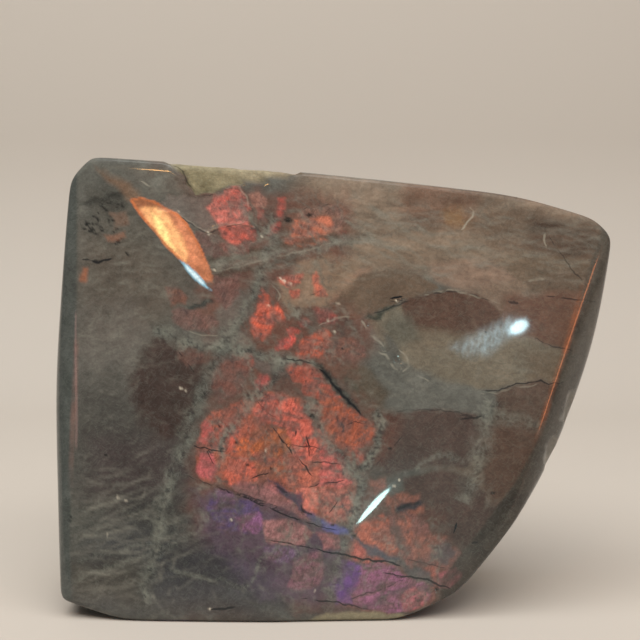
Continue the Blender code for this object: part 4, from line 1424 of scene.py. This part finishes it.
# %% [markdown]
# ## Where the stone is matte
# Skin, ledges and chips carry no polish, and the rounded rim along the top loses its
# polish first. Two materials would meet in a hard, jagged border. One number for each
# point, from 0 for polished to 1 for matte, lets a single material do both, softly.

# %% Note the matte places
beyond_skin = smooth(-3, -1, depth_inside(spots + wobble, SKIN)) * on_top * 0.8
flake_edge = smooth(3, 1, np.abs(depth_inside(spots + wobble, FLAKE))) * facing_front * 0.7
upward = normals[:, 2]
worn_rim = 0.5 * smooth(0.5, 0.62, upward) * smooth(0.99, 0.93, upward)
matte = np.maximum(np.maximum(beyond_skin, flake_edge), worn_rim)
matte = np.clip(matte + skin + ledges + 0.5 * chipped, 0, 1)
print("matte share", round(float(matte.mean()), 3))

# %% [markdown]
# ## From arrays to a mesh
# Everything painted so far lives in arrays with one value for each point. As named
# attributes on the mesh they travel with it, and a material can read them by name. The
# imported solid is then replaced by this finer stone, which rides on the same body.

# %% Make the stone's mesh
for corner, place in zip(block.verts, points * MM):
    corner.co = place
bmesh.ops.recalc_face_normals(block, faces=block.faces)
mesh = bpy.data.meshes.new("labradorite_stone")
block.to_mesh(mesh)
block.free()
mesh.shade_smooth()
triangles = sum(len(face.vertices) - 2 for face in mesh.polygons)
print("stone mesh has", triangles, "triangles")


# %% Give it everything that was painted
def give(mesh, name, values):
    """Store a number or a colour for each point under a name."""
    if values.ndim == 1:
        layer = mesh.attributes.new(name, "FLOAT", "POINT")
        layer.data.foreach_set("value", values.astype(np.float32))
    else:
        layer = mesh.attributes.new(name, "FLOAT_COLOR", "POINT")
        full = np.column_stack([values, np.ones(len(values))]).astype(np.float32)
        layer.data.foreach_set("color", full.ravel())


PAINTED = {
    "painted": np.clip(canvas.colour, 0, 1),
    "flash": flash,
    "milk": np.clip(milk + 0.4 * (1 - flash) * facing_front, 0, 1),
    "matte": matte,
    "crack_and_shadow_offset": crack_and_shadow_offset,
    "crack_and_shadow_show": crack_and_shadow_show,
    "scar_offset": scar_offset,
    "scar_show": scar_show,
}
for name, values in PAINTED.items():
    give(mesh, name, values)
print(len(PAINTED), "attributes given")

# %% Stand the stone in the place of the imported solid
stone = bpy.data.objects.new("labradorite_stone", mesh)
bpy.context.collection.objects.link(stone)
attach(stone, "root")
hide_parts(STONE_NODE)
print(stone.name, "replaces the solid of", STONE_NODE)

# %% [markdown]
# ## The polished finish
# The material starts from the painted colour. Over it go the details that are finer than
# our points: hatching in the flash, dust-like grain, and the thin lines that we measured.
# The polish is a clear coat over a slightly soft surface, so that a lamp gives a sharp
# glint with a faint haze around it. Where the stone is matte, coat and gloss go away. Real
# labradorite lets a little light in; an opaque body was chosen, because it looks the same
# here and stays the same in an exported model.

# %% Helpers for the material's nodes
class Finish:
    """A material under construction, with short ways to add and join nodes."""

    def __init__(self, name):
        self.material = bpy.data.materials.new(name)
        self.material.use_nodes = True
        self.tree = self.material.node_tree
        self.shader = self.tree.nodes["Principled BSDF"]

    def feed(self, socket, value):
        """Put a number, a colour or another node's output into a socket."""
        if isinstance(value, bpy.types.NodeSocket):
            self.tree.links.new(value, socket)
        elif hasattr(value, "__len__") and len(value) == 3 and socket.type == "RGBA":
            socket.default_value = (*value, 1.0)
        else:
            socket.default_value = value

    def number(self, name):
        """A stored value, read by name."""
        node = self.tree.nodes.new("ShaderNodeAttribute")
        node.attribute_name = name
        return node.outputs["Fac"]

    def colour(self, name):
        """A stored colour, read by name."""
        node = self.tree.nodes.new("ShaderNodeAttribute")
        node.attribute_name = name
        return node.outputs["Color"]

    def sum(self, kind, a, b=0.0, c=0.0):
        """One step of arithmetic."""
        node = self.tree.nodes.new("ShaderNodeMath")
        node.operation = kind
        for socket, value in zip(node.inputs, (a, b, c)):
            self.feed(socket, value)
        return node.outputs[0]

    def ramp(self, value, low, high, out_low=0.0, out_high=1.0):
        """A smooth step from one range to another."""
        node = self.tree.nodes.new("ShaderNodeMapRange")
        node.interpolation_type = "SMOOTHSTEP"
        numbers = (value, low, high, out_low, out_high)
        for socket, entry in zip(node.inputs, numbers):
            self.feed(socket, entry)
        return node.outputs[0]

    def place(self, scale, turn=(0, 0, 0)):
        """Object coordinates in millimetres, turned and stretched."""
        coordinates = self.tree.nodes.new("ShaderNodeTexCoord")
        mapping = self.tree.nodes.new("ShaderNodeMapping")
        mapping.vector_type = "TEXTURE"
        mapping.inputs["Rotation"].default_value = [math.radians(t) for t in turn]
        mapping.inputs["Scale"].default_value = [s * MM for s in scale]
        self.tree.links.new(coordinates.outputs["Object"], mapping.inputs["Vector"])
        return mapping.outputs["Vector"]

    def noise(self, place, detail=3.0, distortion=0.0):
        """Cloudy noise at a place."""
        node = self.tree.nodes.new("ShaderNodeTexNoise")
        self.feed(node.inputs["Vector"], place)
        node.inputs["Scale"].default_value = 1.0
        node.inputs["Detail"].default_value = detail
        node.inputs["Distortion"].default_value = distortion
        return node.outputs[0]

    def blend(self, kind, amount, under, over):
        """Lay one colour over another."""
        node = self.tree.nodes.new("ShaderNodeMix")
        node.data_type = "RGBA"
        node.blend_type = kind
        self.feed(node.inputs["Factor"], amount)
        self.feed(node.inputs[6], under)
        self.feed(node.inputs[7], over)
        return node.outputs[2]

    def distance_from(self, value, middle):
        """How far a value is from a middle, either way."""
        return self.sum("ABSOLUTE", self.sum("SUBTRACT", value, middle))


print("helpers for a finish ready")

# %% Read what was painted
POLISH = Finish("polished labradorite")
painted = POLISH.colour("painted")
flash_here = POLISH.number("flash")
milk_here = POLISH.number("milk")
matte_here = POLISH.number("matte")
print("finish reads four painted attributes")

# %% Dust everywhere
dust = POLISH.noise(POLISH.place((0.45, 0.45, 0.45)), 4.0)
shade = POLISH.ramp(dust, 0.3, 0.7, 0.93, 1.07)
mist = POLISH.ramp(POLISH.noise(POLISH.place((1.9, 1.9, 1.3)), 4.0, 1.0), 0.3, 0.7, 0.87, 1.13)
tone = POLISH.blend("MULTIPLY", 1.0, painted, POLISH.sum("MULTIPLY", shade, mist))
print("dust and mist added")

# %% Pale fibres where the stone is milky
fibres = POLISH.noise(POLISH.place((2.6, 1.0, 0.30), (0, 28, 0)), 3.0, 0.6)
cross_fibres = POLISH.noise(POLISH.place((2.2, 1.0, 0.26), (0, -48, 0)), 3.0, 0.6)
thread = POLISH.ramp(POLISH.sum("MAXIMUM", fibres, cross_fibres), 0.56, 0.76)
tangle = POLISH.noise(POLISH.place((3.4, 3.4, 3.4)), 3.0, 1.4)
tangle = POLISH.distance_from(tangle, 0.5)
thread = POLISH.sum("MAXIMUM", thread, POLISH.ramp(tangle, 0.0, 0.03, 0.8, 0.0))
thread = POLISH.sum("MULTIPLY", thread, milk_here)
tone = POLISH.blend("MIX", POLISH.sum("MULTIPLY", thread, 0.36), tone, MILK * 1.1)
print("fibres added")

# %% Hatching and dark crackle inside the flash
hatch = POLISH.noise(POLISH.place((0.9, 1.0, 2.6), (0, 24, 0)), 2.0, 1.0)
hatch_shade = POLISH.ramp(hatch, 0.34, 0.64, 0.80, 1.20)
crackle = POLISH.noise(POLISH.place((4.6, 4.6, 3.0)), 3.0, 1.2)
crackle_shade = POLISH.ramp(POLISH.distance_from(crackle, 0.5), 0.0, 0.03, 0.78, 1.0)
both = POLISH.sum("MULTIPLY", hatch_shade, crackle_shade)
lit = POLISH.blend("MULTIPLY", 1.0, tone, both)
tone = POLISH.blend("MIX", flash_here, tone, lit)
print("hatching and crackle added")

# %% The measured thin lines
CRACK_AND_SHADOW_BLACK = paint(24, 26, 28)
FROST = paint(162, 158, 142)

dark = POLISH.ramp(POLISH.sum("ABSOLUTE", POLISH.number("crack_and_shadow_offset")), 0.2, 1.25, 1.0, 0.0)
dark = POLISH.sum("MULTIPLY", dark, POLISH.number("crack_and_shadow_show"))
tone = POLISH.blend("MIX", dark, tone, CRACK_AND_SHADOW_BLACK)
pale = POLISH.ramp(POLISH.sum("ABSOLUTE", POLISH.number("scar_offset")), 0.1, 1.3, 1.0, 0.0)
pale = POLISH.sum("MULTIPLY", pale, POLISH.number("scar_show"))
tone = POLISH.blend("MIX", pale, tone, FROST)
print("cracks and scars added")

# %% Polish it, and leave it bumpy where it is matte
POLISHED_ROUGHNESS, MATTE_ROUGHNESS = 0.24, 0.78
COAT, COAT_ROUGHNESS = 0.7, 0.045
STONE_IOR, COAT_IOR = 1.52, 1.5
UNDER_COAT_GLOSS = 0.15
BUMP_DEPTH = 0.25

roughness = POLISH.ramp(matte_here, 0.0, 1.0, POLISHED_ROUGHNESS, MATTE_ROUGHNESS)
POLISH.feed(POLISH.shader.inputs["Base Color"], tone)
POLISH.feed(POLISH.shader.inputs["Roughness"], roughness)
POLISH.feed(POLISH.shader.inputs["Coat Weight"], POLISH.ramp(matte_here, 0.0, 0.6, COAT, 0.0))
POLISH.shader.inputs["IOR"].default_value = STONE_IOR
POLISH.shader.inputs["Specular IOR Level"].default_value = UNDER_COAT_GLOSS
POLISH.shader.inputs["Coat Roughness"].default_value = COAT_ROUGHNESS
POLISH.shader.inputs["Coat IOR"].default_value = COAT_IOR
bump = POLISH.tree.nodes.new("ShaderNodeBump")
bump.inputs["Distance"].default_value = BUMP_DEPTH * MM
POLISH.feed(bump.inputs["Height"], POLISH.noise(POLISH.place((0.8, 0.8, 0.8)), 5.0))
POLISH.feed(bump.inputs["Strength"], POLISH.ramp(matte_here, 0.0, 1.0, 0.0, 0.8))
POLISH.feed(POLISH.shader.inputs["Normal"], bump.outputs["Normal"])
stone.data.materials.append(POLISH.material)
print("finish has", len(POLISH.tree.nodes), "nodes")

# %% [markdown]
# ## Floor and light
# The stone stands on a plain pale sheet that curves up behind it, as in a small product
# studio. The light is soft and comes from above and the front, out of the front's mirror
# direction, so that the dark polish keeps its depth. Small lamps then give the glints.

# %% Roll out the pale sheet
SHEET_HALF_WIDTH = 1.6
SHEET_FRONT, SHEET_BACK = -1.0, 0.42
SHEET_RISE = 1.2
SHEET_BEND = 0.16
BEND_STEPS = 12

profile = [(SHEET_FRONT, 0.0), (SHEET_BACK - SHEET_BEND, 0.0)]
for number in range(1, BEND_STEPS + 1):
    angle = number / BEND_STEPS * math.pi / 2
    profile.append((SHEET_BACK - SHEET_BEND + SHEET_BEND * math.sin(angle),
                    SHEET_BEND - SHEET_BEND * math.cos(angle)))
profile.append((SHEET_BACK, SHEET_RISE))
sheet_mesh = bpy.data.meshes.new("pale_sheet")
corners = [(x, y, z) for y, z in profile for x in (-SHEET_HALF_WIDTH, SHEET_HALF_WIDTH)]
faces = [(2 * n, 2 * n + 1, 2 * n + 3, 2 * n + 2) for n in range(len(profile) - 1)]
sheet_mesh.from_pydata(corners, [], faces)
sheet_mesh.shade_smooth()
sheet = bpy.data.objects.new("pale_sheet", sheet_mesh)
bpy.context.collection.objects.link(sheet)
PAPER = Finish("pale paper")
PAPER.feed(PAPER.shader.inputs["Base Color"], paint(186, 179, 170))
PAPER.feed(PAPER.shader.inputs["Roughness"], 0.85)
sheet.data.materials.append(PAPER.material)
print("sheet rolled out")


# %% Hang the lights
def lamp(name, place, towards, size, power, colour=(1, 1, 1), roll=0):
    """A soft lamp, in metres, aimed at a point and rolled about its own axis."""
    light = bpy.data.lights.new(name, "AREA")
    light.shape = "ELLIPSE" if max(size) < 0.1 else "RECTANGLE"
    light.size, light.size_y = size
    light.energy = power
    light.color = colour
    item = bpy.data.objects.new(name, light)
    item.location = place
    aim = Vector(np.array(place) - np.array(towards)).to_track_quat("Z", "Y")
    item.rotation_euler = (aim @ Quaternion((0, 0, 1), math.radians(roll))).to_euler()
    bpy.context.collection.objects.link(item)
    return item


MIDDLE = (0.0, 0.0, 0.06)
key = lamp("key", (-0.25, -0.42, 0.98), MIDDLE, (1.4, 0.6), 13.0, (1.0, 0.97, 0.93))
fill = lamp("fill", (0.55, -0.40, 0.85), MIDDLE, (0.6, 0.5), 3.0, (1.0, 0.95, 0.90))
lamp("sheet_wash", (0.0, 0.0, 1.1), (0.0, 0.4, 0.2), (0.9, 0.4), 3.4, (0.96, 0.98, 1.0))
# mirrored in the polish, these two would wash it out with broad pale patches
for soft_light in (key, fill):
    soft_light.visible_glossy = False
print("soft lights hung")

# %% Fill the room with a little light
ROOM_COLOUR = (0.80, 0.82, 0.84, 1)
ROOM_STRENGTH = 0.14

world = bpy.data.worlds.new("soft room")
world.use_nodes = True
room_light = world.node_tree.nodes["Background"].inputs
room_light["Color"].default_value = ROOM_COLOUR
room_light["Strength"].default_value = ROOM_STRENGTH
bpy.context.scene.world = world
print("room lit")

# %% [markdown]
# ## Glints
# A glint sits where the polish sends our gaze into a lamp. So we ask the stone: at this
# pixel, which way does the surface mirror the line of sight? A small lamp hung in that
# direction gives a glint at that pixel. On a low ridge the way changes quickly across and
# hardly along it, so a small lamp is drawn out to a streak there. Painted glints would be
# simpler, but they would stick to the stone when it turns.

# %% Ask the stone where it mirrors the line of sight
TURNED_AWAY = 99


def mirrored_way(spot):
    """The place under a pixel and the way its polish sends the line of sight."""
    hidden = TURNED_AWAY * (normals[:, 1] > -0.1)
    nearest = np.argmin(np.linalg.norm(spots - spot, axis=1) + hidden)
    place, normal = points[nearest], normals[nearest]
    gaze = (place - CAMERA_PLACE) / np.linalg.norm(place - CAMERA_PLACE)
    return place, gaze - 2 * (gaze @ normal) * normal


print("the middle of the front mirrors", np.round(mirrored_way((320, 400))[1], 2))


# %% Hang a small lamp for each glint
def glint(name, spot, size, radiance, colour, distance=0.6, roll=0):
    """A lamp of this size in metres that the polish shows at a pixel."""
    place, way = mirrored_way(spot)
    power = radiance * math.pi * size[0] * size[1]
    turn = math.degrees(math.atan2(way[0], -way[1]))
    lift = math.degrees(math.asin(way[2]))
    print(name, "hangs", round(turn), "degrees to the right and", round(lift), "up")
    hung = place * MM + way * distance
    return lamp(name, hung, place * MM, size, power, colour, roll)


glint("glint on the right", (519, 328), (0.022, 0.012), 42, (0.58, 0.90, 1.0), roll=24)
glint("glint on the low ridge", (374, 506), (0.036, 0.050), 38, (0.60, 0.95, 0.92), roll=-30)
glint("warm strip on the right edge", (568, 345), (0.034, 0.21), 10, (1.0, 0.28, 0.10))
glint("pink strip on the left edge", (76, 390), (0.020, 0.10), 3, (1.0, 0.46, 0.40))
glint("gold strip on the top edge", (171, 171), (0.085, 0.012), 34, (1.0, 0.50, 0.16))
print(len(bpy.data.lights), "lamps hang in all")
